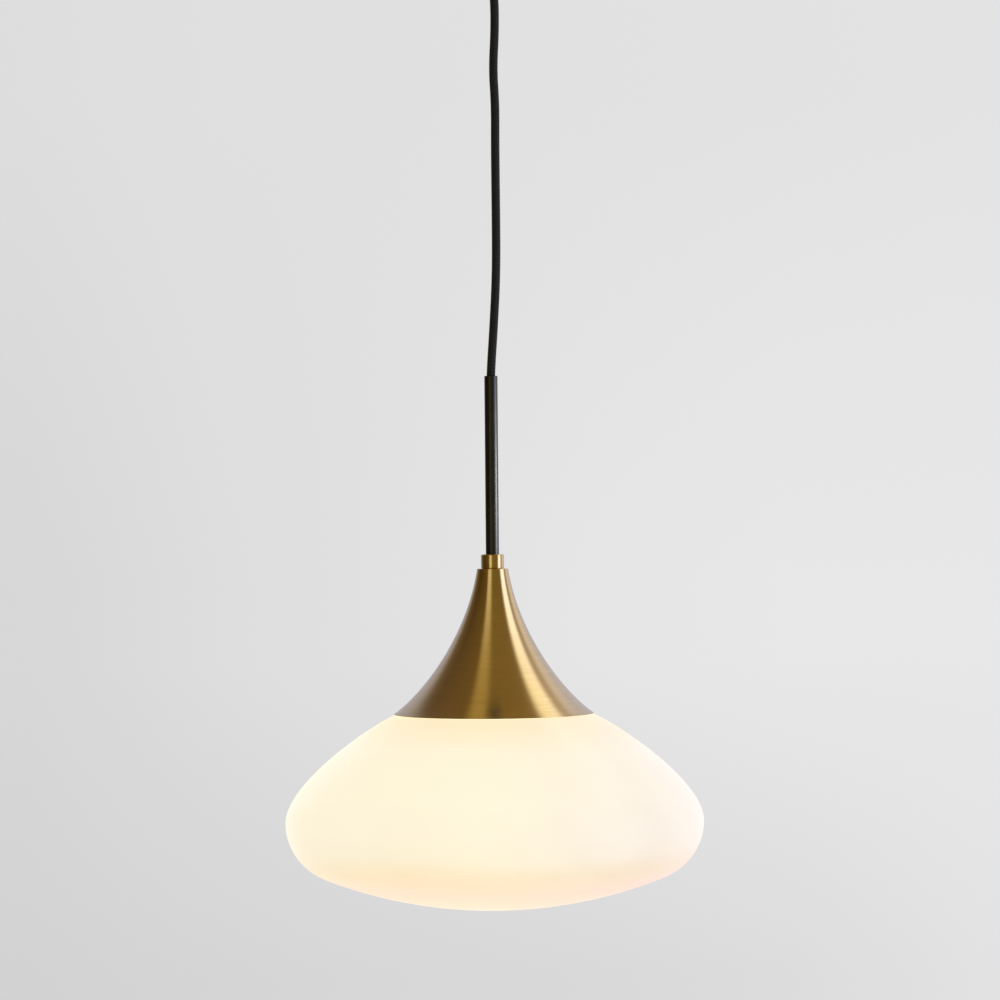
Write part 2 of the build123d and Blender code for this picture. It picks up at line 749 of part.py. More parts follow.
with BuildPart() as bulb_driver:
    with Locations((0, 0, at((CAP_SHELL_END + BOARD_TOP) / 2))):
        Box(13, 1.6, 24)
    with Locations((0, 3.8, at(CAP_SHELL_END - 14))):
        Cylinder(3.0, 10)
save(bulb_driver, "bulb_driver")
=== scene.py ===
import json
from math import asin, atan2, cos, degrees, hypot, pi, radians, sin, tau

import bmesh
import bpy
from mathutils import Matrix, Vector
from mathutils.geometry import interpolate_bezier


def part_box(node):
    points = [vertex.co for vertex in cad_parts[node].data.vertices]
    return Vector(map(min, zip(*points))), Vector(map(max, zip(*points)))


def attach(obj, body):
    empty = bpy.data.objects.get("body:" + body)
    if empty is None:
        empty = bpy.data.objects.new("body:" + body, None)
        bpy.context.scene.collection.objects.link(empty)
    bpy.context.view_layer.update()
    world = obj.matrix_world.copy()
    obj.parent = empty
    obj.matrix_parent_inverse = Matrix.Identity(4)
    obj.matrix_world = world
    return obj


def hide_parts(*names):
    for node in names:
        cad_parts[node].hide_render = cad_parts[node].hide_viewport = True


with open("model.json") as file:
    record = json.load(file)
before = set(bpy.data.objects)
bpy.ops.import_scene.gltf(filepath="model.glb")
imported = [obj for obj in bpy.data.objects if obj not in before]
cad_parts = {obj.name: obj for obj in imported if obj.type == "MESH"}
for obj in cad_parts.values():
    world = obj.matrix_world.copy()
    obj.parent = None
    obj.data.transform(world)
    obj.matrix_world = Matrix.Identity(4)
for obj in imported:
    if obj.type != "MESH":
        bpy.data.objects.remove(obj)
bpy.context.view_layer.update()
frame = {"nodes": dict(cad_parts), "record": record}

# A pendant ceiling light in metres, with the ceiling at z = 0 and the lamp's axis on z. Heights
# given to at() are above the trumpet's rim.

RIM_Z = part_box("trumpet")[0].z


def at(height):
    """The frame's height of something that is this far above the trumpet's rim."""
    return RIM_Z + height


def reach(node):
    """The outer radius of a turned CAD node."""
    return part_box(node)[1].x


def foot(node):
    """The height of a node's lowest point."""
    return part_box(node)[0].z


def top(node):
    """The height of a node's highest point."""
    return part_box(node)[1].z


def middle_of(node):
    """The centre of a node's box."""
    low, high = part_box(node)
    return (low + high) / 2


# ---- camera ---------------------------------------------------------------------------------

CAMERA_BACK = 3.03
CAMERA_SIDE = 0.0061
CAMERA_HEIGHT = 0.1617
CAMERA_LENS = 144
CAMERA_ROLL = 0.5


def place_camera():
    """A level camera in front of the light, rolled by a trace."""
    data = bpy.data.cameras.new("camera")
    data.lens = CAMERA_LENS
    camera = bpy.data.objects.new("camera", data)
    camera.location = (CAMERA_SIDE, -CAMERA_BACK, at(CAMERA_HEIGHT))
    roll = Matrix.Rotation(radians(CAMERA_ROLL), 3, "Y")
    camera.rotation_euler = (roll @ Matrix.Rotation(radians(90), 3, "X")).to_euler()
    bpy.context.scene.collection.objects.link(camera)
    bpy.context.scene.camera = camera
    bpy.context.scene.view_settings.view_transform = "Standard"


place_camera()


# ---- node helpers ---------------------------------------------------------------------------

# a Mix node numbers its sockets for every kind of value: these are the share and the two colours
COLOUR_MIX_INPUTS = (0, 6, 7)
COLOUR_MIX_OUTPUT = 2


def node(tree, kind, inputs=None, **settings):
    """Adds a shader node, with a value or a link for each input that is named or numbered."""
    made = tree.nodes.new("ShaderNode" + kind)
    for name, value in settings.items():
        setattr(made, name, value)
    for socket, value in (inputs or {}).items():
        if isinstance(value, bpy.types.NodeSocket):
            tree.links.new(value, made.inputs[socket])
        else:
            made.inputs[socket].default_value = value
    return made


def maths(tree, operation, first, second=0.0):
    """One step of arithmetic on values or links."""
    return node(tree, "Math", {0: first, 1: second}, operation=operation).outputs[0]


def spread(tree, value, low, high, source=(0.0, 1.0), smooth=False):
    """Carries a value from one range to another."""
    limits = {"From Min": source[0], "From Max": source[1], "To Min": low, "To Max": high}
    kind = "SMOOTHSTEP" if smooth else "LINEAR"
    mapped = node(tree, "MapRange", {"Value": value, **limits}, interpolation_type=kind)
    return mapped.outputs["Result"]


def shades(tree, value, *stops):
    """A colour ramp with (position, colour) stops."""
    ramp = node(tree, "ValToRGB", {"Fac": value})
    marks = ramp.color_ramp.elements
    for extra in stops[2:]:
        marks.new(extra[0])
    for mark, (position, colour) in zip(marks, sorted(stops, key=lambda stop: stop[0])):
        mark.position = position
        mark.color = (*colour[:3], 1.0)
    return ramp.outputs["Color"]


def blended(tree, share, first, second, way="MIX"):
    """Mixes two colours, each a link or a plain (red, green, blue)."""
    colours = [(*colour, 1.0) if isinstance(colour, tuple) else colour for colour in (first, second)]
    inputs = dict(zip(COLOUR_MIX_INPUTS, (share, *colours)))
    return node(tree, "Mix", inputs, data_type="RGBA", blend_type=way).outputs[COLOUR_MIX_OUTPUT]


def place_on_piece(tree):
    """The point of the piece that is shaded, in metres."""
    return node(tree, "TexCoord").outputs["Object"]


def place_along_axes(tree):
    """The same point's x, y and z, each as its own link."""
    return node(tree, "SeparateXYZ", {0: place_on_piece(tree)}).outputs


def grain(tree, scale, stretch=(1, 1, 1), detail=3.0, roughness=0.5):
    """Noise on the piece itself: scale is in cells per metre, stretched along each axis."""
    spot = node(tree, "Mapping", {"Vector": place_on_piece(tree), "Scale": stretch})
    noise = {"Vector": spot.outputs[0], "Scale": scale, "Detail": detail, "Roughness": roughness}
    return node(tree, "TexNoise", noise).outputs["Fac"]


def bumped(tree, height, depth, strength):
    """A bump of this depth in metres."""
    inputs = {"Height": height, "Distance": depth, "Strength": strength}
    return node(tree, "Bump", inputs).outputs["Normal"]


def finish_of(name, **sockets):
    """A new material with its constant sockets set; returns it with its tree and shader."""
    material = bpy.data.materials.new(name)
    material.use_nodes = True
    shader = material.node_tree.nodes["Principled BSDF"]
    for socket, value in sockets.items():
        shader.inputs[socket.replace("_", " ")].default_value = value
    return material, material.node_tree, shader


def wire_up(tree, shader, **sockets):
    """Links each named socket of a shader."""
    for socket, value in sockets.items():
        tree.links.new(value, shader.inputs[socket.replace("_", " ")])


def slot_colour(slot):
    """The base colour that the record gives a material slot."""
    found = [m["base_color"] for m in frame["record"]["materials"] if m["slot"] == slot]
    return tuple(found[0][:3])


def tinted(colour, share):
    """A colour made darker or lighter."""
    return tuple(channel * share for channel in colour)


# ---- materials ------------------------------------------------------------------------------

BRASS = (0.80, 0.64, 0.38)


def brushed_brass():
    """Lacquered spun brass: fine rings round the axis stretch its reflections up and down."""
    material, tree, shader = finish_of(
        "brushed_brass", Metallic=1.0, Anisotropic=0.8, Anisotropic_Rotation=0.25,
        Coat_Weight=0.12, Coat_Roughness=0.1,
    )
    rings = grain(tree, 1.0, (14, 14, 5200), detail=2.0)
    rubbed = grain(tree, 1.0, (40, 40, 900), detail=4.0)
    cloudy = grain(tree, 28, detail=5.0, roughness=0.6)
    tone = maths(
        tree, "ADD", maths(tree, "MULTIPLY", rubbed, 0.6), maths(tree, "MULTIPLY", cloudy, 0.4),
    )
    tangent = node(tree, "Tangent", direction_type="UV_MAP", uv_map="turned").outputs[0]
    wire_up(
        tree, shader,
        Base_Color=shades(tree, tone, (0.3, tinted(BRASS, 0.91)), (0.7, tinted(BRASS, 1.05))),
        Roughness=spread(tree, rings, 0.15, 0.27),
        Normal=bumped(tree, rings, 0.000006, 0.8),
        Tangent=tangent,
    )
    return material


def plain_brass():
    """Machined brass with a little tarnish."""
    material, tree, shader = finish_of("plain_brass", Metallic=1.0, Coat_Weight=0.1)
    colour = slot_colour("plain_brass")
    tarnish = grain(tree, 240, detail=6.0, roughness=0.65)
    lines = grain(tree, 1.0, (90, 90, 6000), detail=2.0)
    wire_up(
        tree, shader,
        Base_Color=shades(tree, tarnish, (0.35, tinted(colour, 0.62)), (0.62, tinted(colour, 1.12))),
        Roughness=spread(tree, tarnish, 0.42, 0.24),
        Normal=bumped(tree, lines, 0.00001, 0.5),
    )
    return material


def black_coat():
    """Satin black powder coat with a faint orange-peel surface."""
    material, tree, shader = finish_of(
        "black_coat", Specular_IOR_Level=0.55, Specular_Tint=(0.88, 0.94, 1.1, 1.0),
    )
    peel = grain(tree, 1500, detail=2.0)
    handled = grain(tree, 60, detail=4.0)
    colour = slot_colour("black_coat")
    wire_up(
        tree, shader,
        Base_Color=shades(tree, handled, (0.3, tinted(colour, 0.7)), (0.7, tinted(colour, 1.25))),
        Roughness=spread(tree, handled, 0.29, 0.34),
        Normal=bumped(tree, peel, 0.00003, 0.35),
    )
    return material


BRAID_STRANDS = 14.0
BRAID_CROSSING = 0.0026
TEXTILE_SHEEN = {
    "Sheen_Weight": 0.14, "Sheen_Roughness": 0.4, "Sheen_Tint": (0.8, 0.9, 1.0, 1.0),
    "Specular_Tint": (0.75, 0.88, 1.2, 1.0),
}


def woven(along, around, tree, shader):
    """A black braid: two sets of yarns cross, and each goes over and under the other; the hollows
    between the yarns are painted darker as shade, and their crests painted lighter.
    """
    climb = maths(tree, "MULTIPLY", along, 1 / BRAID_CROSSING)
    turn = maths(tree, "MULTIPLY", around, BRAID_STRANDS)
    one = maths(tree, "ADD", turn, climb)
    two = maths(tree, "SUBTRACT", turn, climb)
    lumps = [
        maths(tree, "ABSOLUTE", maths(tree, "SINE", maths(tree, "MULTIPLY", way, pi)))
        for way in (one, two)
    ]
    cell = maths(tree, "ADD", maths(tree, "FLOOR", one), maths(tree, "FLOOR", two))
    odd = maths(tree, "ABSOLUTE", maths(tree, "MODULO", cell, 2.0))
    over = maths(tree, "MULTIPLY", lumps[0], odd)
    under = maths(tree, "MULTIPLY", lumps[1], maths(tree, "SUBTRACT", 1.0, odd))
    height = maths(tree, "ADD", over, under)
    fibres = grain(tree, 9000, (1, 1, 0.3), detail=3.0)
    weave_relief_and_shade = maths(tree, "ADD", maths(tree, "MULTIPLY", fibres, 0.3), height)
    colour = slot_colour("black_textile")
    # painted shade: the colour follows the weave's relief, dark in the hollows between yarns and lighter
    # on their crests, with the fibres' own tone mixed in
    wire_up(
        tree, shader,
        Base_Color=shades(tree, weave_relief_and_shade, (0.1, tinted(colour, 0.25)), (0.9, tinted(colour, 1.35))),
        Roughness=spread(tree, fibres, 0.62, 0.86),
        Normal=bumped(tree, weave_relief_and_shade, 0.0003, 0.9),
    )


def textile_on_curve():
    """The braid on the free cord: its turn comes from the tube's own UV map."""
    material, tree, shader = finish_of("black_textile", **TEXTILE_SHEEN)
    place = place_along_axes(tree)
    wrap = node(tree, "SeparateXYZ", {0: node(tree, "TexCoord").outputs["UV"]}).outputs
    woven(place["Z"], wrap["Y"], tree, shader)
    return material


def textile_on_axis():
    """The braid where the cord runs straight along the lamp's axis."""
    material, tree, shader = finish_of("black_textile_straight", **TEXTILE_SHEEN)
    place = place_along_axes(tree)
    angle = maths(tree, "ARCTAN2", place["Y"], place["X"])
    woven(place["Z"], maths(tree, "DIVIDE", angle, tau), tree, shader)
    return material


# the emitted colour from the bowl's bottom (0) to the trumpet's rim (1), with painted shade in it:
# warmer and dimmer low on the bowl and just under the rim, where less outside light falls
OPAL_GLOW_AND_SHADE = (
    (0.0, (0.84, 0.70, 0.46)),
    (0.07, (0.84, 0.64, 0.415)),
    (0.15, (0.84, 0.61, 0.41)),
    (0.25, (0.84, 0.69, 0.46)),
    (0.34, (0.87, 0.79, 0.60)),
    (0.45, (0.90, 0.83, 0.66)),
    (0.6, (0.92, 0.86, 0.68)),
    (0.84, (0.92, 0.845, 0.66)),
    (0.97, (0.92, 0.775, 0.53)),
)


def opal_glass():
    """Cased opal glass, lit from inside: its emitted colour is painted warmer low on the bowl and near
    the rim, as shade where less outside light falls, and painted a little bluer on the side that the
    window lights, as that window's light."""
    material, tree, shader = finish_of(
        "opal_glass", Specular_IOR_Level=0.3, Emission_Strength=1.0,
        Coat_Weight=0.1, Coat_Roughness=0.2,
    )
    place = place_along_axes(tree)
    height = spread(tree, place["Z"], 0.0, 1.0, (foot("glass_shade"), RIM_Z))
    seeds = grain(tree, 7, detail=2.0)
    drift = maths(tree, "MULTIPLY", maths(tree, "SUBTRACT", seeds, 0.5), 0.12)
    # painted shade: the emitted colour runs warmer and dimmer low on the bowl and near the rim
    glow_and_shade = shades(tree, maths(tree, "ADD", height, drift), *OPAL_GLOW_AND_SHADE)
    # painted window light: the right side, which the window lights, is tinted a little bluer
    side = spread(tree, place["X"], 1.0, 0.0, (-0.02, 0.15), smooth=True)
    window_light_tint = shades(tree, side, (0.0, (0.86, 0.85, 0.97)), (1.0, (1.0, 1.0, 1.0)))
    ripple = grain(tree, 45, detail=2.0)
    wire_up(
        tree, shader,
        Base_Color=shades(tree, ripple, (0.3, (0.28, 0.27, 0.25)), (0.7, (0.32, 0.31, 0.29))),
        Emission_Color=blended(tree, 1.0, glow_and_shade, window_light_tint, way="MULTIPLY"),
        Roughness=spread(tree, ripple, 0.26, 0.34),
        Normal=bumped(tree, ripple, 0.0002, 0.4),
    )
    return material


def zinc_steel():
    """Zinc-plated steel: soft spangles in tone and gloss."""
    material, tree, shader = finish_of("zinc_steel", Metallic=1.0)
    colour = slot_colour("zinc_steel")
    cells = node(tree, "TexVoronoi", {"Vector": place_on_piece(tree), "Scale": 320.0})
    spangle = node(tree, "SeparateColor", {0: cells.outputs["Color"]}).outputs[0]
    stain = grain(tree, 90, detail=5.0, roughness=0.6)
    wire_up(
        tree, shader,
        Base_Color=shades(tree, spangle, (0.0, tinted(colour, 0.84)), (1.0, tinted(colour, 1.12))),
        Roughness=spread(tree, stain, 0.26, 0.48),
        Normal=bumped(tree, grain(tree, 2600, detail=2.0), 0.00001, 0.6),
    )
    return material


def nickel():
    """Thin nickel-plated sheet, drawn and pressed, with faint drawing lines."""
    material, tree, shader = finish_of("nickel", Metallic=1.0)
    colour = slot_colour("nickel")
    lines = grain(tree, 1.0, (5200, 5200, 60), detail=2.0)
    haze = grain(tree, 130, detail=4.0)
    wire_up(
        tree, shader,
        Base_Color=shades(tree, haze, (0.3, tinted(colour, 0.82)), (0.7, tinted(colour, 1.05))),
        Roughness=spread(tree, haze, 0.15, 0.30),
        Normal=bumped(tree, lines, 0.000008, 0.5),
    )
    return material


def spring_steel():
    """Cold-rolled spring strip with a slight straw tint from its tempering."""
    material, tree, shader = finish_of("spring_steel", Metallic=1.0)
    colour = slot_colour("spring_steel")
    rolled = grain(tree, 1.0, (3000, 3000, 90), detail=3.0)
    temper = grain(tree, 75, detail=3.0)
    straw = (colour[0] * 1.1, colour[1] * 0.95, colour[2] * 0.74)
    wire_up(
        tree, shader,
        Base_Color=shades(tree, temper, (0.35, colour), (0.7, straw)),
        Roughness=spread(tree, rolled, 0.20, 0.36),
        Normal=bumped(tree, rolled, 0.000008, 0.5),
    )
    return material


def solder():
    """The dull domed blob of solder on the bulb's tip."""
    material, tree, shader = finish_of("solder", Metallic=1.0)
    colour = slot_colour("solder")
    frost = grain(tree, 900, detail=5.0, roughness=0.7)
    wire_up(
        tree, shader,
        Base_Color=shades(tree, frost, (0.3, tinted(colour, 0.7)), (0.7, tinted(colour, 1.05))),
        Roughness=spread(tree, frost, 0.3, 0.6),
        Normal=bumped(tree, frost, 0.00006, 0.6),
    )
    return material


def moulded(slot, rough, texture, depth, tones=(0.8, 1.2), **sockets):
    """Moulded plastic or rubber: a fine mould texture, with slow changes in tone and gloss."""
    material, tree, shader = finish_of(slot, **sockets)
    dark, pale = (tinted(slot_colour(slot), tone) for tone in tones)
    flow = grain(tree, 55, detail=4.0, roughness=0.6)
    skin = grain(tree, texture, detail=2.0)
    wire_up(
        tree, shader,
        Base_Color=shades(tree, flow, (0.3, dark), (0.7, pale)),
        Roughness=spread(tree, flow, *rough),
        Normal=bumped(tree, skin, depth, 0.6),
    )
    return material


def phenolic():
    """Dark brown-black phenolic with the mottle of its filler."""
    material, tree, shader = finish_of("phenolic", Coat_Weight=0.2, Coat_Roughness=0.15)
    colour = slot_colour("phenolic")
    filler = grain(tree, 420, detail=6.0, roughness=0.7)
    brown = (colour[0] * 2.0, colour[1] * 1.5, colour[2] * 1.2)
    wire_up(
        tree, shader,
        Base_Color=shades(tree, filler, (0.42, tinted(colour, 0.8)), (0.68, brown)),
        Roughness=spread(tree, filler, 0.3, 0.42),
        Normal=bumped(tree, filler, 0.00002, 0.5),
    )
    return material


def steatite():
    """Pressed ceramic with a thin glaze and small iron specks."""
    material, tree, shader = finish_of("steatite", Coat_Weight=0.5, Coat_Roughness=0.08)
    colour = slot_colour("steatite")
    specks = node(tree, "TexVoronoi", {"Vector": place_on_piece(tree), "Scale": 700.0})
    clay = grain(tree, 350, detail=4.0)
    dots = spread(tree, specks.outputs["Distance"], 0.0, 1.0, (0.06, 0.14), smooth=True)
    body = shades(tree, clay, (0.3, tinted(colour, 0.88)), (0.7, tinted(colour, 1.03)))
    wire_up(
        tree, shader,
        Base_Color=blended(tree, dots, (0.42, 0.36, 0.28), body),
        Roughness=spread(tree, clay, 0.32, 0.5),
        Normal=bumped(tree, clay, 0.00004, 0.5),
    )
    return material


def insulation(slot):
    """The soft plastic skin of a wire, with fine lines from its drawing."""
    material, tree, shader = finish_of(slot, Coat_Weight=0.2, Coat_Roughness=0.25)
    colour = slot_colour(slot)
    lines = grain(tree, 1.0, (2200, 2200, 150), detail=2.0)
    dust = grain(tree, 180, detail=4.0)
    wire_up(
        tree, shader,
        Base_Color=shades(tree, dust, (0.3, tinted(colour, 0.82)), (0.75, tinted(colour, 1.15))),
        Roughness=spread(tree, dust, 0.34, 0.5),
        Normal=bumped(tree, lines, 0.00002, 0.4),
    )
    return material


def green_screw():
    """A steel earth screw in green lacquer that is worn thin in places."""
    material, tree, shader = finish_of("green_screw", Coat_Weight=0.3)
    colour = slot_colour("green_screw")
    worn = grain(tree, 500, detail=6.0, roughness=0.7)
    wire_up(
        tree, shader,
        Base_Color=shades(
            tree, worn, (0.3, tinted(colour, 0.75)), (0.62, colour), (0.75, (0.4, 0.42, 0.4)),
        ),
        Metallic=spread(tree, worn, 0.0, 0.8, (0.66, 0.75)),
        Roughness=spread(tree, worn, 0.28, 0.44),
        Normal=bumped(tree, worn, 0.00002, 0.5),
    )
    return material


def bulb_diffuser():
    """The frosted cover of the lit bulb, brightest at its crown."""
    material, tree, shader = finish_of("bulb_diffuser", Emission_Strength=2.0)
    place = place_along_axes(tree)
    share = spread(tree, place["Z"], 0.0, 1.0, (foot("bulb_globe"), top("bulb_globe")))
    frost = grain(tree, 1800, detail=3.0)
    wire_up(
        tree, shader,
        Base_Color=shades(tree, frost, (0.3, (0.86, 0.84, 0.78)), (0.7, (0.94, 0.92, 0.87))),
        Emission_Color=shades(tree, share, (0.0, (1.0, 0.84, 0.60)), (1.0, (0.80, 0.58, 0.34))),
        Roughness=spread(tree, frost, 0.42, 0.6),
        Normal=bumped(tree, frost, 0.00004, 0.5),
    )
    return material


def printed_board(slot, mask, copper):
    """A circuit board: solder mask over tracks that show through as a grid of lines."""
    material, tree, shader = finish_of(slot, Roughness=0.35, Coat_Weight=0.2)
    pattern = {"Vector": place_on_piece(tree), "Scale": 260.0, "Mortar Size": 0.06}
    tracks = node(tree, "TexBrick", pattern).outputs["Fac"]
    dust = grain(tree, 400, detail=4.0)
    wire_up(
        tree, shader,
        Base_Color=blended(tree, tracks, mask, copper),
        Roughness=spread(tree, dust, 0.28, 0.45),
        Normal=bumped(tree, tracks, 0.00003, 0.6),
    )
    return material


def emitter():
    """The yellow phosphor of the light chips."""
    material, tree, shader = finish_of("emitter", Emission_Strength=2.0, Coat_Weight=0.4)
    phosphor = grain(tree, 6000, detail=3.0)
    colour = slot_colour("emitter")
    wire_up(
        tree, shader,
        Base_Color=shades(tree, phosphor, (0.3, tinted(colour, 0.9)), (0.7, tinted(colour, 1.05))),
        Emission_Color=shades(tree, phosphor, (0.3, (1.0, 0.78, 0.42)), (0.7, (1.0, 0.86, 0.55))),
        Roughness=spread(tree, phosphor, 0.3, 0.45),
    )
    return material


# one finish for each slot, and one more for the straight runs of cord
MADE = {
    "brushed_brass": brushed_brass(),
    "plain_brass": plain_brass(),
    "black_coat": black_coat(),
    "black_textile": textile_on_curve(),
    "straight_textile": textile_on_axis(),
    "opal_glass": opal_glass(),
    "zinc_steel": zinc_steel(),
    "nickel": nickel(),
    "spring_steel": spring_steel(),
    "solder": solder(),
    "black_nylon": moulded("black_nylon", (0.42, 0.58), 2200, 0.00004, Sheen_Weight=0.1),
    "black_rubber": moulded("black_rubber", (0.6, 0.8), 1500, 0.00005, (0.7, 1.5)),
    "phenolic": phenolic(),
    "steatite": steatite(),
    "wire_black": insulation("wire_black"),
    "wire_white": insulation("wire_white"),
    "wire_green": insulation("wire_green"),
    "green_screw": green_screw(),
    "connector_plastic": moulded("connector_plastic", (0.32, 0.46), 1600, 0.00004, (0.85, 1.1)),
    "bulb_plastic": moulded("bulb_plastic", (0.34, 0.46), 1900, 0.00003, (0.9, 1.04)),
    "bulb_diffuser": bulb_diffuser(),
    "bulb_insulator": moulded(
        "bulb_insulator", (0.08, 0.2), 700, 0.00003, (0.6, 1.6), Coat_Weight=0.5,
    ),
    "board": printed_board("board", (0.82, 0.82, 0.80), (0.66, 0.66, 0.64)),
    "emitter": emitter(),
    "driver_board": printed_board("driver_board", (0.02, 0.13, 0.05), (0.07, 0.30, 0.12)),
}


# ---- shape helpers --------------------------------------------------------------------------

# the angles between faces from which an edge is shaded sharp, and from which it is rounded
SHADED_SHARP = radians(32)
EASED_FROM = radians(35)

MERGE_WITHIN = 1e-6
SLIDING_GAP = 0.0001
RIB_FADE = 0.0012

# outline points in one turn of a thread
FINE_THREAD_POINTS = 6
CAP_THREAD_POINTS = 12


def object_of(name, form):
    """A form as an object in the scene; the form itself is used up."""
    mesh = bpy.data.meshes.new(name)
    form.to_mesh(mesh)
    form.free()
    thing = bpy.data.objects.new(name, mesh)
    bpy.context.scene.collection.objects.link(thing)
    return thing


def closed_up(form):
    """Merges the points of a form that coincide and turns its faces outwards."""
    bmesh.ops.remove_doubles(form, verts=form.verts[:], dist=MERGE_WITHIN)
    bmesh.ops.recalc_face_normals(form, faces=form.faces[:])
    return form


def piece(name, form, body, slot, part):
    """Makes an object of a finished form: it rides on a body and stands for a CAD node."""
    for face in closed_up(form).faces:
        face.smooth = True
    thing = object_of(name, form)
    thing.data.set_sharp_from_angle(angle=SHADED_SHARP)
    thing.data.materials.append(MADE[slot])
    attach(thing, body)
    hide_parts(part)


def turned(outline, steps=96, closed=True):
    """Spins an outline of (radius, height) points about the axis. A closed outline makes a ring;
    an open one that starts and ends on the axis makes a solid without a hole."""
    form = bmesh.new()
    dots = [form.verts.new((radius, 0, height)) for radius, height in outline]
    after = dots[1:] + dots[:1] if closed else dots[1:]
    lines = [form.edges.new(pair) for pair in zip(dots, after)]
    bmesh.ops.spin(
        form, geom=dots + lines, cent=(0, 0, 0), axis=(0, 0, 1), dvec=(0, 0, 0),
        angle=tau, steps=steps, use_merge=True,
    )
    return closed_up(form)


def ease(form, width, segments=2):
    """Rounds the sharp edges of a form."""
    sharp = [edge for edge in form.edges if edge.is_manifold and edge.calc_face_angle(0) > EASED_FROM]
    bmesh.ops.bevel(
        form, geom=sharp, offset=width, offset_type="OFFSET", affect="EDGES",
        segments=segments, profile=0.5, material=-1, clamp_overlap=True,
    )
    return form


def bezier(count, *controls):
    """Points along a cubic curve from four (radius, height) control points."""
    corners = [Vector((radius, 0, height)) for radius, height in controls]
    return [(p.x, p.z) for p in interpolate_bezier(*corners, count)]


def arc(centre, radius, start, end, count):
    """Points along a round stretch of an outline, from one angle to another in degrees."""
    angles = [radians(start + (end - start) * n / (count - 1)) for n in range(count)]
    return [(centre[0] + radius * cos(a), centre[1] + radius * sin(a)) for a in angles]


def walled(points, wall):
    """The same outline moved to its left by a wall's thickness, or to its right by a negative one."""
    moved = []
    for number, (radius, height) in enumerate(points):
        before = points[max(number - 1, 0)]
        after = points[min(number + 1, len(points) - 1)]
        across, up = after[0] - before[0], after[1] - before[1]
        length = hypot(across, up)
        moved.append((radius - wall * up / length, height + wall * across / length))
    return moved


def map_turned(form):
    """A UV map of a turned piece: u goes once round the axis, and v is the height."""
    layer = form.loops.layers.uv.new("turned")
    for face in form.faces:
        middle = face.calc_center_median()
        facing = atan2(middle.y, middle.x)
        for loop in face.loops:
            spot = loop.vert.co
            turn = atan2(spot.y, spot.x) - facing
            turn = (turn + pi) % tau - pi if hypot(spot.x, spot.y) > MERGE_WITHIN else 0.0
            loop[layer].uv = ((facing + turn) / tau, spot.z)
    return form


def carried(form, matrix):
    """Moves a form, which so far stands on the axis, to its place."""
    bmesh.ops.transform(form, matrix=matrix, verts=form.verts)
    return form


def drill(radius, length):
    """A round bar on the axis, as long below z = 0 as above it, for cutting a hole."""
    form = bmesh.new()
    bmesh.ops.create_cone(
        form, cap_ends=True, segments=32, radius1=radius, radius2=radius, depth=length,
    )
    return form


def block(size, centre):
    """A box, for cutting slots."""
    form = bmesh.new()
    place = Matrix.Translation(centre) @ Matrix.Diagonal((*size, 1))
    bmesh.ops.create_cube(form, size=1.0, matrix=place)
    return form


def gathered(*forms):
    """Several forms in one."""
    whole = bmesh.new()
    for form in forms:
        mesh = bpy.data.meshes.new("gathered")
        form.to_mesh(mesh)
        form.free()
        whole.from_mesh(mesh)
        bpy.data.meshes.remove(mesh)
    return whole


def cut(form, *tools):
    """Takes the shapes of some tools out of a form."""
    bmesh.ops.recalc_face_normals(form, faces=form.faces[:])
    blank = object_of("blank", form)
    spent = [blank]
    for tool in tools:
        spent.append(object_of("tool", tool))
        step = blank.modifiers.new("cut", "BOOLEAN")
        step.operation = "DIFFERENCE"
        step.solver = "EXACT"
        step.object = spent[-1]
    shaped = blank.evaluated_get(bpy.context.evaluated_depsgraph_get())
    result = bmesh.new()
    result.from_mesh(shaped.to_mesh())
    for thing in spent:
        bpy.data.meshes.remove(thing.data)
    return result


def rows(radius, low, high, spacing):
    """Outline points up a straight wall, close enough together for a thread or ribs."""
    count = max(2, round(abs(high - low) / spacing) + 1)
    return [(radius, low + (high - low) * n / (count - 1)) for n in range(count)]


def threaded(form, inner, outer, low, high, pitch, depth):
    """Presses a right-hand thread into the wall near and between two radii, faded out at its
    ends. Its turns are counted from z = 0, so the thread of a cap fits that of its shell."""
    for vert in form.verts:
        spot = vert.co
        radius = hypot(spot.x, spot.y)
        if not (inner * 0.99 <= radius <= outer * 1.01 and low <= spot.z <= high):
            continue
        turn = spot.z / pitch - atan2(spot.y, spot.x) / tau
        end = min(spot.z - low, high - spot.z) / (0.6 * pitch)
        drop = depth * (0.5 - 0.5 * cos(tau * turn)) * min(1.0, end)
        scale = (radius - drop) / radius
        vert.co = (spot.x * scale, spot.y * scale, spot.z)
    return form


def ribbed(form, radius, low, high, count, depth):
    """Presses grooves into the outside of a turned wall, faded out at their ends."""
    for vert in form.verts:
        spot = vert.co
        wide = hypot(spot.x, spot.y)
        if wide < radius or not low <= spot.z <= high:
            continue
        end = min(1.0, (spot.z - low) / RIB_FADE, (high - spot.z) / RIB_FADE)
        groove = max(0.0, cos(count * atan2(spot.y, spot.x))) ** 2
        scale = (wide - depth * groove * end) / wide
        vert.co = (spot.x * scale, spot.y * scale, spot.z)
    return form


def flattened(form, radius, inner):
    """Pulls the vertices outside the inner radius in to the flats of a hexagon that has its
    corners on the outer one."""
    for vert in form.verts:
        spot = vert.co
        wide = hypot(spot.x, spot.y)
        if wide < inner:
            continue
        past_flat = (atan2(spot.y, spot.x) % (tau / 6)) - tau / 12
        flat = radius * cos(tau / 12) / cos(past_flat)
        scale = min(wide, flat) / wide
        vert.co = (spot.x * scale, spot.y * scale, spot.z)
    return form


# ---- cord -----------------------------------------------------------------------------------

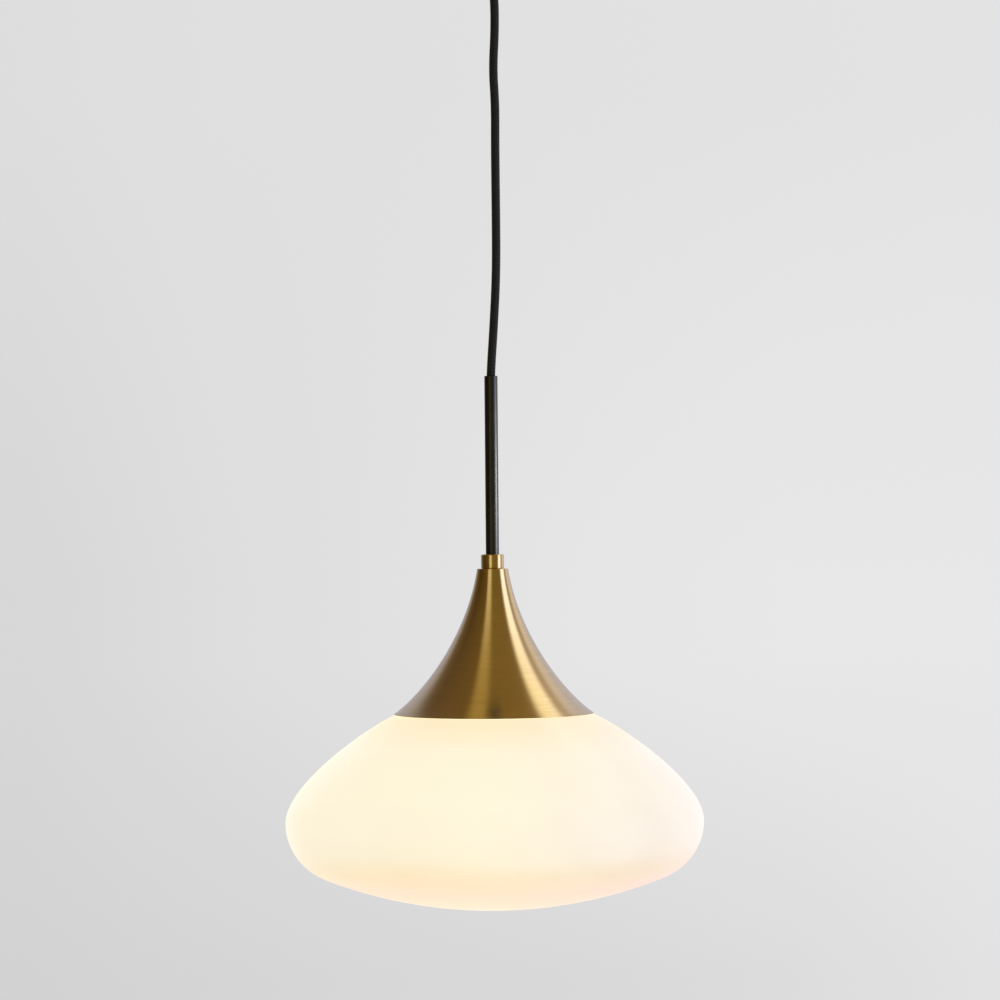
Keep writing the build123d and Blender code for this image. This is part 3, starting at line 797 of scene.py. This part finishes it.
# the free cord's route with its slight bends, as (x, y, height above the stem's top)
CORD_ROUTE = [
    (0.0, 0.0, 0.0),
    (0.0005, 0.0, 0.011),
    (0.0023, 0.0003, 0.035),
    (0.0048, 0.0005, 0.078),
    (0.0049, -0.0004, 0.126),
    (0.0047, 0.0002, 0.172),
    (0.0051, 0.0005, 0.206),
    (0.0035, 0.0002, 0.232),
    (0.0053, -0.0003, 0.262),
    (0.0051, -0.0001, 0.290),
    (0.0, 0.0, 0.318),
    (0.0, 0.0, 0.332),
]
CORD_DIAMETER = 0.0065


def make_cord():
    """The textile-covered cord from the stem's top to the cord grip."""
    stem_top = top("stem")
    data = bpy.data.curves.new("hanging_cord", "CURVE")
    data.dimensions = "3D"
    line = data.splines.new("NURBS")
    line.points.add(len(CORD_ROUTE) - 1)
    for point, (x, y, up) in zip(line.points, CORD_ROUTE):
        point.co = (x, y, stem_top + up, 1.0)
    line.order_u = 3
    line.use_endpoint_u = True
    data.resolution_u = 16
    data.bevel_depth = CORD_DIAMETER / 2
    data.bevel_resolution = 6
    data.use_fill_caps = True
    data.materials.append(MADE["black_textile"])
    cord = bpy.data.objects.new("hanging_cord", data)
    bpy.context.scene.collection.objects.link(cord)
    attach(cord, "lamp")
    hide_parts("cord")


make_cord()


# ---- trumpet, collar and stem ---------------------------------------------------------------

TRUMPET_BENDS = ((0.01975, 0.0590), (0.0533, 0.0158))
TRUMPET_TOP_RADIUS = 0.0118
TRUMPET_WALL = 0.001
TRUMPET_RIM_LAND = 0.00175
TRUMPET_EASE = 0.00028
SPIGOT_RADIUS = 0.0056


def make_trumpet():
    """The spun brass cover: a thin shell that flares to its rim, with a small flat top."""
    peak = top("trumpet")
    bends = [(radius, at(height)) for radius, height in TRUMPET_BENDS]
    outside = bezier(56, (TRUMPET_TOP_RADIUS, peak), *bends, (reach("trumpet"), RIM_Z))
    inside = walled(outside, -TRUMPET_WALL)
    inside[0] = (TRUMPET_TOP_RADIUS - TRUMPET_WALL, peak - TRUMPET_WALL)
    inside[-1] = (reach("trumpet") - TRUMPET_RIM_LAND, RIM_Z)
    flat = [(SPIGOT_RADIUS, peak - TRUMPET_WALL), (SPIGOT_RADIUS, peak)]
    form = ease(turned(outside + inside[::-1] + flat, steps=192), TRUMPET_EASE, segments=3)
    piece("trumpet_cover", map_turned(form), "cover", "brushed_brass", "trumpet")


COLLAR_CHAMFER = 0.0007
COLLAR_EASE = 0.00012
COLLAR_SCREW_HOLE = 0.0016


def make_collar():
    """The turned collar that clamps the trumpet to the stem, with a spigot through its top and a
    hole at the back for the grub screw."""
    low, high, radius = top("trumpet"), top("collar"), reach("collar")
    bore = reach("stem") + SLIDING_GAP
    outline = [
        (bore, foot("collar")),
        (SPIGOT_RADIUS - SLIDING_GAP, foot("collar")),
        (SPIGOT_RADIUS - SLIDING_GAP, low),
        (radius - COLLAR_CHAMFER, low),
        (radius, low + COLLAR_CHAMFER),
        (radius, high - COLLAR_CHAMFER),
        (radius - COLLAR_CHAMFER, high),
        (bore, high),
    ]
    form = ease(turned(outline, steps=96), COLLAR_EASE)
    back = Matrix.Translation((0, radius, middle_of("collar_screw").z))
    hole = carried(drill(COLLAR_SCREW_HOLE, 2 * radius), back @ Matrix.Rotation(radians(90), 4, "X"))
    piece("stem_collar", map_turned(cut(form, hole)), "cover", "brushed_brass", "collar")


STEM_WALL = 0.001
STEM_EASE = 0.0003


def make_stem():
    """The black tube that the cord comes out of."""
    low, high, outer = foot("stem"), top("stem"), reach("stem")
    inner = outer - STEM_WALL
    form = turned([(inner, low), (outer, low), (outer, high), (inner, high)], steps=72)
    piece("stem_tube", ease(form, STEM_EASE, segments=3), "lamp", "black_coat", "stem")


make_trumpet()
make_collar()
make_stem()


# ---- glass shade ----------------------------------------------------------------------------

GLASS_WALL = 0.0026
GLASS_WIDEST = -0.0812
GLASS_DOME = 0.350
NECK_RADIUS = 0.041
NECK_FOOT = 0.014
BEAD_DEPTH = 0.0019
BEAD_HEIGHT = 0.0027
BEAD_ROUND = 0.0009
BEAD_FOOT = 0.0008
RIM_EDGE = (0.0008, 0.001)

# where the flank, seen below the trumpet's rim, passes into the shoulder that the rim hides, and
# what draws the two curves on either side, as (radius, height above the rim)
GLASS_MEETS_RIM = (0.0759, -0.00085)
FLANK_HEIGHT = -0.055
FLANK_BEND = (0.104, -0.0146)
SHOULDER_BEND = (0.068, 0.0008)
SHOULDER_HEIGHT = 0.0025


def bowl_outline(radius, bottom):
    """The bowl's lower half: a shallow dome and the round corner up to its widest line."""
    centre, widest = bottom + GLASS_DOME, at(GLASS_WIDEST)
    rise = centre - widest
    corner = (GLASS_DOME**2 - radius**2 - rise**2) / (2 * (GLASS_DOME - radius))
    lean = degrees(atan2(radius - corner, rise))
    dome = arc((0, centre), GLASS_DOME, -90, lean - 90, 44)
    bend = arc((radius - corner, widest), corner, lean - 90, 0, 26)
    return [(0, bottom)] + dome[1:] + bend[1:]


def flank_outline(radius):
    """The bowl's upper half: the sloping flank and the shoulder that rises to the neck."""
    meeting, flank, shoulder = (
        (across, at(height)) for across, height in (GLASS_MEETS_RIM, FLANK_BEND, SHOULDER_BEND)
    )
    slope = bezier(44, (radius, at(GLASS_WIDEST)), (radius, at(FLANK_HEIGHT)), flank, meeting)
    neck = bezier(
        20, meeting, shoulder, (NECK_RADIUS, at(SHOULDER_HEIGHT)), (NECK_RADIUS, at(NECK_FOOT)),
    )
    return slope + neck[1:]


def bead_outline(rim):
    """The neck's top: a bead of glass that stands inwards, which the springs hold."""
    throat = NECK_RADIUS - GLASS_WALL
    lip = throat - BEAD_DEPTH
    return [
        (NECK_RADIUS, rim - RIM_EDGE[1]), (NECK_RADIUS - RIM_EDGE[0], rim),
        (lip + BEAD_ROUND, rim), (lip, rim - BEAD_ROUND),
        (lip, rim - BEAD_HEIGHT + BEAD_FOOT), (throat, rim - BEAD_HEIGHT),
    ]


def make_glass():
    """The closed opal bowl with its short neck."""
    radius, bottom = reach("glass_shade"), foot("glass_shade")
    outside = bowl_outline(radius, bottom) + flank_outline(radius)[1:]
    inside = walled(outside, GLASS_WALL)
    inside[0] = (0, bottom + GLASS_WALL)
    outline = outside + bead_outline(top("glass_shade")) + inside[::-1]
    form = turned(outline, steps=192, closed=False)
    piece("opal_shade", form, "diffuser", "opal_glass", "glass_shade")


make_glass()


# ---- ceiling canopy -------------------------------------------------------------------------

CANOPY_WALL = 0.001
CANOPY_CORNER = 0.009
CANOPY_BORE = 0.0051
CANOPY_EASE = 0.00025
SCREW_HOLE = 0.0021
SCREW_RADIUS = 0.002
SCREW_HEAD = 0.004
SCREW_HEAD_EDGE = (0.0006, 0.0018)
SCREW_PITCH = 0.0007
SCREW_THREAD = 0.0004
SCREW_TIP = 0.0006
SCREW_SLOT = (0.02, 0.0011, 0.0028)


def screw_places(height):
    """Where the two canopy screws stand."""
    across = reach("canopy_screws") - SCREW_HEAD
    return [Matrix.Translation((side * across, 0, height)) for side in (-1, 1)]


def make_canopy():
    """The deep-drawn black cup that covers the ceiling box."""
    radius, low, high = reach("canopy"), foot("canopy"), top("canopy")
    centre = (radius - CANOPY_CORNER, low + CANOPY_CORNER)
    outside = [(CANOPY_BORE, low)] + arc(centre, CANOPY_CORNER, -90, 0, 16) + [(radius, high)]
    inner_corner = arc(centre, CANOPY_CORNER - CANOPY_WALL, 0, -90, 16)
    inside = [(radius - CANOPY_WALL, high)] + inner_corner + [(CANOPY_BORE, low + CANOPY_WALL)]
    form = ease(turned(outside + inside, steps=160), CANOPY_EASE)
    holes = [carried(drill(SCREW_HOLE, 6 * CANOPY_WALL), place) for place in screw_places(low)]
    piece("ceiling_canopy", cut(form, *holes), "ceiling", "black_coat", "canopy")


def machine_screw(low, seat, end):
    """A screw that points up: a domed slotted head below its seat and a threaded shank above."""
    round_edge = [(SCREW_HEAD, low + height) for height in SCREW_HEAD_EDGE]
    dome = bezier(10, (0, low), (SCREW_HEAD * 0.6, low), *round_edge)
    shank = rows(SCREW_RADIUS, seat, end - SCREW_TIP, SCREW_PITCH / FINE_THREAD_POINTS)
    outline = dome + [(SCREW_HEAD, seat)] + shank + [(SCREW_RADIUS * 0.7, end), (0, end)]
    form = turned(outline, steps=36, closed=False)
    threaded(form, SCREW_RADIUS, SCREW_RADIUS, seat + CANOPY_WALL, end, SCREW_PITCH, SCREW_THREAD)
    return cut(form, block(SCREW_SLOT, (0, 0, low)))


def make_canopy_screws():
    """The two brass screws that hold the canopy to its strap."""
    low, seat, high = foot("canopy_screws"), foot("canopy"), top("canopy_screws")
    pair = gathered(*(carried(machine_screw(low, seat, high), place) for place in screw_places(0)))
    piece("canopy_screw_pair", pair, "ceiling", "plain_brass", "canopy_screws")


# ---- cord grip ------------------------------------------------------------------------------

GRIP_HEX = 0.011
GRIP_HEX_HEIGHT = 0.005
GRIP_CHAMFER = 0.0006
GRIP_NIPPLE = 0.005
GRIP_BORE = 0.0034
GRIP_SPIGOT = 0.007
GRIP_SEAT = 0.00515
GRIP_SEAT_STOP = 0.002
GRIP_PITCH = 0.001
GRIP_THREAD = 0.0005
GRIP_THREAD_START = 0.0004
GRIP_CAP_MOUTH = 0.0067
GRIP_CAP_WAIST_DROP = 0.0014
GRIP_CAP_BELL_BENDS = (0.0009, 0.0007)
GRIP_CAP_BELL_RISE = 0.0028
GRIP_CAP_EDGE_ROUND = 0.0028
GRIP_CAP_EDGE_HEIGHT = 0.0034
GRIP_CAP_WALL_FOOT = 0.0036
GRIP_CAP_TOP_CHAMFER = 0.0006
GRIP_CAP_GROOVES = 16
GRIP_CAP_GROOVE_DEPTH = 0.0007
GRIP_CAP_GROOVE_SPAN = (0.0035, 0.0004)
GRIP_CAP_ROW = 0.0005
GRIP_CAP_EASE = 0.00015


def make_grip_body():
    """The cord grip's hexagon, with a threaded nipple up through the canopy."""
    low, high = foot("grip_body"), top("grip_body")
    shelf = foot("canopy")
    flange = shelf - GRIP_HEX_HEIGHT
    stop = flange + GRIP_SEAT_STOP
    thread = rows(GRIP_NIPPLE, shelf, high - GRIP_THREAD, GRIP_PITCH / FINE_THREAD_POINTS)
    outline = [
        (GRIP_SEAT, low), (GRIP_SPIGOT, low), (GRIP_SPIGOT, flange),
        (GRIP_HEX - GRIP_CHAMFER, flange), (GRIP_HEX, flange + GRIP_CHAMFER), (GRIP_HEX, shelf),
    ]
    outline += thread + [(GRIP_NIPPLE - GRIP_THREAD, high), (GRIP_BORE, high)]
    outline += [(GRIP_BORE, stop), (GRIP_SEAT, stop)]
    form = turned(outline, steps=96)
    start = shelf + GRIP_THREAD_START
    threaded(form, GRIP_NIPPLE, GRIP_NIPPLE, start, high, GRIP_PITCH, GRIP_THREAD)
    flattened(form, GRIP_HEX, GRIP_SPIGOT + GRIP_CHAMFER)
    piece("grip_hexagon", form, "ceiling", "black_nylon", "grip_body")


def make_grip_cap():
    """The ribbed cap that squeezes the seal on the cord, with a mouth like a bell."""
    low, high, radius = foot("grip_cap"), top("grip_cap"), reach("grip_cap")
    hole, waist = GRIP_BORE + SLIDING_GAP / 2, foot("grip_body") - GRIP_CAP_WAIST_DROP
    socket, shelf = GRIP_SPIGOT + SLIDING_GAP, foot("grip_body") - SLIDING_GAP
    bell = bezier(
        14, (GRIP_CAP_MOUTH, low), (GRIP_CAP_MOUTH - GRIP_CAP_BELL_BENDS[0], low + GRIP_CAP_BELL_RISE),
        (hole + GRIP_CAP_BELL_BENDS[1], waist - GRIP_CAP_BELL_RISE), (hole, waist),
    )
    edge = arc((radius - GRIP_CAP_EDGE_ROUND, low + GRIP_CAP_EDGE_HEIGHT), GRIP_CAP_EDGE_ROUND, -55, 0, 8)
    wall = rows(radius, high - GRIP_CAP_TOP_CHAMFER, low + GRIP_CAP_WALL_FOOT, GRIP_CAP_ROW)
    inner = [(hole, shelf), (socket, shelf), (socket, high), (radius - GRIP_CAP_TOP_CHAMFER, high)]
    form = turned(bell + inner + wall + edge[::-1], steps=GRIP_CAP_GROOVES * 10)
    start, end = low + GRIP_CAP_GROOVE_SPAN[0], high - GRIP_CAP_GROOVE_SPAN[1]
    ribbed(form, radius * 0.999, start, end, GRIP_CAP_GROOVES, GRIP_CAP_GROOVE_DEPTH)
    piece("grip_ribbed_cap", ease(form, GRIP_CAP_EASE), "ceiling", "black_nylon", "grip_cap")


# ---- wire connectors ------------------------------------------------------------------------

NUT_LENGTH = 0.016
NUT_MOUTH = 0.0052
NUT_LIP = 0.0012
NUT_END = 0.0034
NUT_CROWN = 0.0011
NUT_BORE = 0.0011
NUT_BORE_DEPTH = 0.009
NUT_SKIRT_DEPTH = 0.004
NUT_TAPER = (0.0004, 0.0144)
NUT_RIBS = 12
NUT_RIB_DEPTH = 0.0005
NUT_RIB_SPAN = (0.0015, 0.0145)
LEAD_ANGLES = (-30, -150, -90)


def connector():
    """A screw-on wire connector along z, with its open mouth at z = 0."""
    mouth = [(NUT_BORE, NUT_SKIRT_DEPTH), (NUT_MOUTH - NUT_LIP, 0.0), (NUT_MOUTH, 0.0)]
    start, end = NUT_TAPER
    shares = [n / 20 for n in range(21)]
    wall = [(NUT_MOUTH + (NUT_END - NUT_MOUTH) * n, start + (end - start) * n) for n in shares]
    crown = arc((NUT_END - NUT_CROWN, NUT_LENGTH - NUT_CROWN), NUT_CROWN, 20, 90, 6)
    bore = [(0, NUT_BORE_DEPTH), (NUT_BORE, NUT_BORE_DEPTH)]
    outline = bore + mouth + wall + crown + [(0, NUT_LENGTH)]
    form = turned(outline, steps=NUT_RIBS * 8, closed=False)
    return ribbed(form, NUT_END * 0.98, *NUT_RIB_SPAN, NUT_RIBS, NUT_RIB_DEPTH)


def make_connectors():
    """The three connectors that join the cord's leads to the house wiring."""
    start = -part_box("wire_nuts")[0].y - NUT_LENGTH
    lying = Matrix.Translation((start, 0, middle_of("wire_nuts").z))
    lying = lying @ Matrix.Rotation(radians(90), 4, "Y")
    turns = [Matrix.Rotation(radians(angle), 4, "Z") for angle in LEAD_ANGLES]
    group = gathered(*(carried(connector(), turn @ lying) for turn in turns))
    piece("wire_connectors", group, "ceiling", "connector_plastic", "wire_nuts")


make_canopy()
make_canopy_screws()
make_grip_body()
make_grip_cap()
make_connectors()


# ---- lampholder and bulb --------------------------------------------------------------------

# a 26 mm Edison screw has seven threads to the inch
E26_PITCH = 0.0254 / 7
E26_DEPTH = 0.00072
SHELL_WALL = 0.0004
SHELL_BORE = 0.0135
SHELL_NECK = 0.006
SHELL_SMOOTH_TOP = 0.0012
BULB_CAP_CREST = 0.013
BULB_CAP_WALL = 0.0006
BULB_CAP_CONE_FOOT = 0.0026
BULB_CAP_CONE_BEND = (0.0007, 0.0016)
BULB_CAP_NECK = 0.0095


def make_screw_shell():
    """The lampholder's threaded shell, pressed from thin sheet, with a ring at its top."""
    low, high = foot("screw_shell"), top("screw_shell")
    spacing = E26_PITCH / CAP_THREAD_POINTS
    outer = SHELL_BORE + SHELL_WALL
    outline = [(SHELL_NECK, high - SHELL_WALL), (SHELL_NECK, high)]
    outline += rows(outer, high, low, spacing)
    outline += rows(SHELL_BORE, low, high - SHELL_WALL, spacing)
    form = turned(outline, steps=96)
    threaded(form, SHELL_BORE, outer, low, high - SHELL_SMOOTH_TOP, E26_PITCH, E26_DEPTH)
    piece("holder_screw_shell", form, "lamp", "nickel", "screw_shell")


def make_bulb_cap():
    """The bulb's screw cap: a rolled thread under a cone that leads to the insulator."""
    low, high = foot("bulb_cap"), top("bulb_cap")
    inner, shoulder = BULB_CAP_CREST - BULB_CAP_WALL, high - BULB_CAP_CONE_FOOT
    spacing = E26_PITCH / CAP_THREAD_POINTS
    bend = (BULB_CAP_CREST - BULB_CAP_CONE_BEND[0], high - BULB_CAP_CONE_BEND[1])
    outline = rows(BULB_CAP_CREST, low, shoulder, spacing)
    outline += [bend, (BULB_CAP_NECK, high), (BULB_CAP_NECK, high - BULB_CAP_WALL)]
    outline += rows(inner, shoulder, low, spacing)
    form = turned(outline, steps=96)
    threaded(form, inner, BULB_CAP_CREST, low, shoulder, E26_PITCH, E26_DEPTH)
    piece("bulb_screw_cap", form, "bulb", "nickel", "bulb_cap")


BULB_NECK = 0.0148
BULB_NECK_BORE = 0.0115
BULB_MOUTH_WALL = 0.0024
BULB_EASE = 0.0004
BULB_WAIST = (0.0155, 0.0119)
BULB_WAIST_BORE = (0.0125, 0.0099)
BULB_FLARE = (0.0205, 0.009)
BULB_FLARE_BORE = (0.0185, 0.009)
GLOBE_WALL = 0.0015


def make_bulb_body():
    """The bulb's moulded housing, which flares from the cap's width to the globe's."""
    low, high, wide = foot("bulb_housing"), top("bulb_housing"), reach("bulb_housing")
    waist, waist_bore = ((across, high - drop) for across, drop in (BULB_WAIST, BULB_WAIST_BORE))
    flare, flare_bore = ((across, low + rise) for across, rise in (BULB_FLARE, BULB_FLARE_BORE))
    outside = bezier(28, (BULB_NECK, high), waist, flare, (wide, low))
    inside = bezier(28, (wide - BULB_MOUTH_WALL, low), flare_bore, waist_bore, (BULB_NECK_BORE, high))
    form = ease(turned(outside + inside, steps=120), BULB_EASE, segments=3)
    piece("bulb_body", form, "bulb", "bulb_plastic", "bulb_housing")


def make_bulb_cover():
    """The frosted globe, a part of a sphere that ends at the housing's mouth."""
    low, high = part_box("bulb_globe")
    radius = (high.x - low.x) / 2
    centre = low.z + radius
    end = degrees(asin((foot("bulb_housing") - centre) / radius))
    outside = arc((0, centre), radius, -90, end, 40)
    inside = walled(outside, GLOBE_WALL)
    outside[0] = (0, low.z)
    inside[0] = (0, low.z + GLOBE_WALL)
    inside[-1] = (inside[-1][0], outside[-1][1])
    form = turned(outside + inside[::-1], steps=120, closed=False)
    piece("bulb_cover", form, "bulb", "bulb_diffuser", "bulb_globe")


TERMINAL_HEAD = 0.0027
TERMINAL_HEAD_HEIGHT = 0.002
TERMINAL_EDGE = 0.0004
TERMINAL_SHANK = 0.0015
TERMINAL_TIP = 0.0005
TERMINAL_SLOT = (0.0008, 0.01, 0.0018)


def terminal(place):
    """A cheese-headed screw that points down, with a slot across its head."""
    low, high = foot("terminal_screws"), top("terminal_screws")
    seat = high - TERMINAL_HEAD_HEIGHT
    outline = [
        (0, low), (TERMINAL_SHANK * 0.7, low), (TERMINAL_SHANK, low + TERMINAL_TIP),
        (TERMINAL_SHANK, seat), (TERMINAL_HEAD, seat), (TERMINAL_HEAD, high - TERMINAL_EDGE),
        (TERMINAL_HEAD - TERMINAL_EDGE, high), (0, high),
    ]
    form = turned(outline, steps=40, closed=False)
    return carried(cut(form, block(TERMINAL_SLOT, (0, 0, high))), Matrix.Translation(place))


def make_terminals():
    """The two terminal screws and the green earth screw on the insert."""
    circle = reach("terminal_screws") - TERMINAL_HEAD
    pair = gathered(terminal((-circle, 0, 0)), terminal((circle, 0, 0)))
    piece("terminal_screw_pair", pair, "lamp", "plain_brass", "terminal_screws")
    piece("earth_terminal", terminal((0, circle, 0)), "lamp", "green_screw", "earth_screw")


make_screw_shell()
make_bulb_cap()
make_bulb_body()
make_bulb_cover()
make_terminals()


# ---- the rest of the parts ------------------------------------------------------------------

STRAIGHT_CORD = ("cord_tail", "cord_stub", "cord_in_stem")


def dress_parts():
    """Gives each CAD part that stays the finish of its slot."""
    for part in frame["record"]["subparts"]:
        thing = frame["nodes"][part["node"]]
        slot = "straight_textile" if part["node"] in STRAIGHT_CORD else part["material_slot"]
        thing.data.materials.clear()
        thing.data.materials.append(MADE[slot])


dress_parts()


# ---- studio ---------------------------------------------------------------------------------

# the bands of light round the object: the angle in degrees at which a turned piece shows one in
# front, its colour near eye level and its colour overhead; dark and warm on the left, a soft
# window near the middle, a bright one on the right
STUDIO_BANDS = (
    (-90, (0.30, 0.27, 0.28), (0.42, 0.42, 0.50)),
    (-70, (0.24, 0.20, 0.18), (0.33, 0.30, 0.30)),
    (-58, (0.13, 0.09, 0.04), (0.21, 0.155, 0.10)),
    (-45, (0.065, 0.036, 0.008), (0.15, 0.10, 0.05)),
    (-17.5, (0.12, 0.074, 0.012), (0.165, 0.10, 0.028)),
    (-13, (0.86, 0.76, 0.48), (0.42, 0.30, 0.09)),
    (-7, (0.86, 0.75, 0.46), (0.42, 0.30, 0.09)),
    (-1.5, (0.20, 0.14, 0.028), (0.22, 0.145, 0.04)),
    (26.5, (0.18, 0.118, 0.026), (0.24, 0.155, 0.05)),
    (31, (1.50, 1.54, 1.80), (1.22, 1.08, 0.70)),
    (40.5, (1.55, 1.60, 1.90), (1.22, 1.08, 0.74)),
    (45.5, (0.34, 0.28, 0.20), (0.54, 0.43, 0.30)),
    (49.5, (0.35, 0.29, 0.22), (0.62, 0.50, 0.40)),
    (55, (0.80, 0.73, 0.74), (0.76, 0.68, 0.62)),
    (90, (0.66, 0.62, 0.74), (0.58, 0.62, 0.76)),
)

# behind the object the light only goes from one colour on the left to another on the right
LEFT_BEHIND = (0.34, 0.33, 0.38)
RIGHT_BEHIND = (0.66, 0.65, 0.76)

# shares of a unit heading: from eye level to overhead, and from the side to behind
EYE_TO_OVERHEAD = (0.25, 0.9)
SIDE_TO_BEHIND = (0.55, 0.85)


def studio_heading(tree):
    """The direction in which a ray leaves, as x, y and z."""
    return node(tree, "SeparateXYZ", {0: node(tree, "TexCoord").outputs["Generated"]}).outputs


def studio_light(tree):
    """The light that comes from each direction round the object."""
    x, y, z = studio_heading(tree)
    # a little over 1, so that nothing is divided by zero straight behind
    slope = maths(tree, "DIVIDE", x, maths(tree, "SUBTRACT", 1.002, y))
    share = spread(tree, maths(tree, "ARCTANGENT", slope), 0.0, 1.0, (-pi / 2, pi / 2))
    level, above = (
        shades(tree, share, *[((band[0] + 90) / 180, band[row]) for band in STUDIO_BANDS])
        for row in (1, 2)
    )
    bands = blended(tree, spread(tree, z, 0.0, 1.0, EYE_TO_OVERHEAD), level, above)
    across = spread(tree, x, 0.0, 1.0, (-0.9, 0.9))
    sides = shades(tree, across, (0.0, LEFT_BEHIND), (1.0, RIGHT_BEHIND))
    behind = spread(tree, y, 0.0, 1.0, SIDE_TO_BEHIND, smooth=True)
    return blended(tree, behind, bands, sides)


# the backdrop's grey from left to right, where the camera looks down, level and up, and the
# headings between which the view's edges lie and each grey passes into the next
BACKDROP_EDGES = (-0.118, 0.118)
DOWN_TO_LEVEL = (-0.118, -0.04)
LEVEL_TO_UP = (-0.02, 0.1)
BACKDROP = (
    (0.0, 0.646, 0.680, 0.724),
    (0.2, 0.662, 0.724, 0.745),
    (0.4, 0.680, 0.758, 0.748),
    (0.6, 0.694, 0.788, 0.755),
    (0.8, 0.716, 0.805, 0.761),
    (1.0, 0.760, 0.805, 0.768),
)


def backdrop_grey(tree):
    """The backdrop's grey in each direction."""
    x, _, up = studio_heading(tree)
    across = spread(tree, x, 0.0, 1.0, BACKDROP_EDGES)
    down, level, above = (
        shades(tree, across, *[(share, (greys[row],) * 3) for share, *greys in BACKDROP])
        for row in range(3)
    )
    lower = blended(tree, spread(tree, up, 0.0, 1.0, DOWN_TO_LEVEL), down, level)
    return blended(tree, spread(tree, up, 0.0, 1.0, LEVEL_TO_UP), lower, above)


def studio_world():
    """Bands of light for the object, and a plain pale backdrop for the camera."""
    world = bpy.data.worlds.new("studio")
    bpy.context.scene.world = world
    world.use_nodes = True
    tree = world.node_tree
    tree.nodes.clear()
    lit = node(tree, "Background", {"Color": studio_light(tree)})
    backdrop = node(tree, "Background", {"Color": backdrop_grey(tree)})
    seen = node(tree, "LightPath").outputs["Is Camera Ray"]
    choice = node(tree, "MixShader", {0: seen, 1: lit.outputs[0], 2: backdrop.outputs[0]})
    tree.links.new(choice.outputs[0], node(tree, "OutputWorld").inputs["Surface"])


STRIP_CENTRE = (2.0, -0.14, 0.30)
STRIP_AIM = 0.20
STRIP_WIDTH = 1.05
STRIP_HEIGHT = 0.24
STRIP_POWER = 20
STRIP_COLOUR = (1, 0.95, 0.86)


def light_stem():
    """A soft light on the right for the stem alone, which draws the line of light down it."""
    data = bpy.data.lights.new("stem_strip", "AREA")
    data.shape = "RECTANGLE"
    data.size = STRIP_WIDTH
    data.size_y = STRIP_HEIGHT
    data.energy = STRIP_POWER
    data.color = STRIP_COLOUR
    lamp = bpy.data.objects.new("stem_strip", data)
    x, y, height = STRIP_CENTRE
    lamp.location = (x, y, at(height))
    facing = Vector((0, 0, at(STRIP_AIM))) - lamp.location
    lamp.rotation_euler = facing.to_track_quat("-Z", "Y").to_euler()
    lamp.visible_camera = False
    bpy.context.scene.collection.objects.link(lamp)
    lit = bpy.data.collections.new("stem_strip_pieces")
    lit.objects.link(bpy.data.objects["stem_tube"])
    lamp.light_linking.receiver_collection = lit


FLOOR_DROP = 1.9
FLOOR_RADIUS = 3.5
FLOOR_FADE = (1.2, 3.3)
FLOOR_GLOW = 0.45


def pale_floor():
    """Pale plaster that glows a little and fades out with its distance from the axis."""
    material, tree, shader = finish_of(
        "pale_floor", Roughness=0.8, Emission_Color=(1, 1, 1, 1), Emission_Strength=FLOOR_GLOW,
    )
    place = place_along_axes(tree)
    x_squared, y_squared = (maths(tree, "POWER", place[way], 2.0) for way in "XY")
    away = maths(tree, "SQRT", maths(tree, "ADD", x_squared, y_squared))
    plaster = grain(tree, 30)
    wire_up(
        tree, shader,
        Alpha=spread(tree, away, 1.0, 0.0, FLOOR_FADE, smooth=True),
        Base_Color=shades(tree, plaster, (0.3, (0.58, 0.60, 0.64)), (0.7, (0.62, 0.64, 0.68))),
    )
    return material


def make_floor():
    """A pale floor far below the light, fading out into the backdrop."""
    form = bmesh.new()
    place = Matrix.Translation((0, 0, foot("glass_shade") - FLOOR_DROP))
    bmesh.ops.create_circle(form, cap_ends=True, segments=96, radius=FLOOR_RADIUS, matrix=place)
    floor = object_of("floor", form)
    floor.data.materials.append(pale_floor())


studio_world()
light_stem()
make_floor()
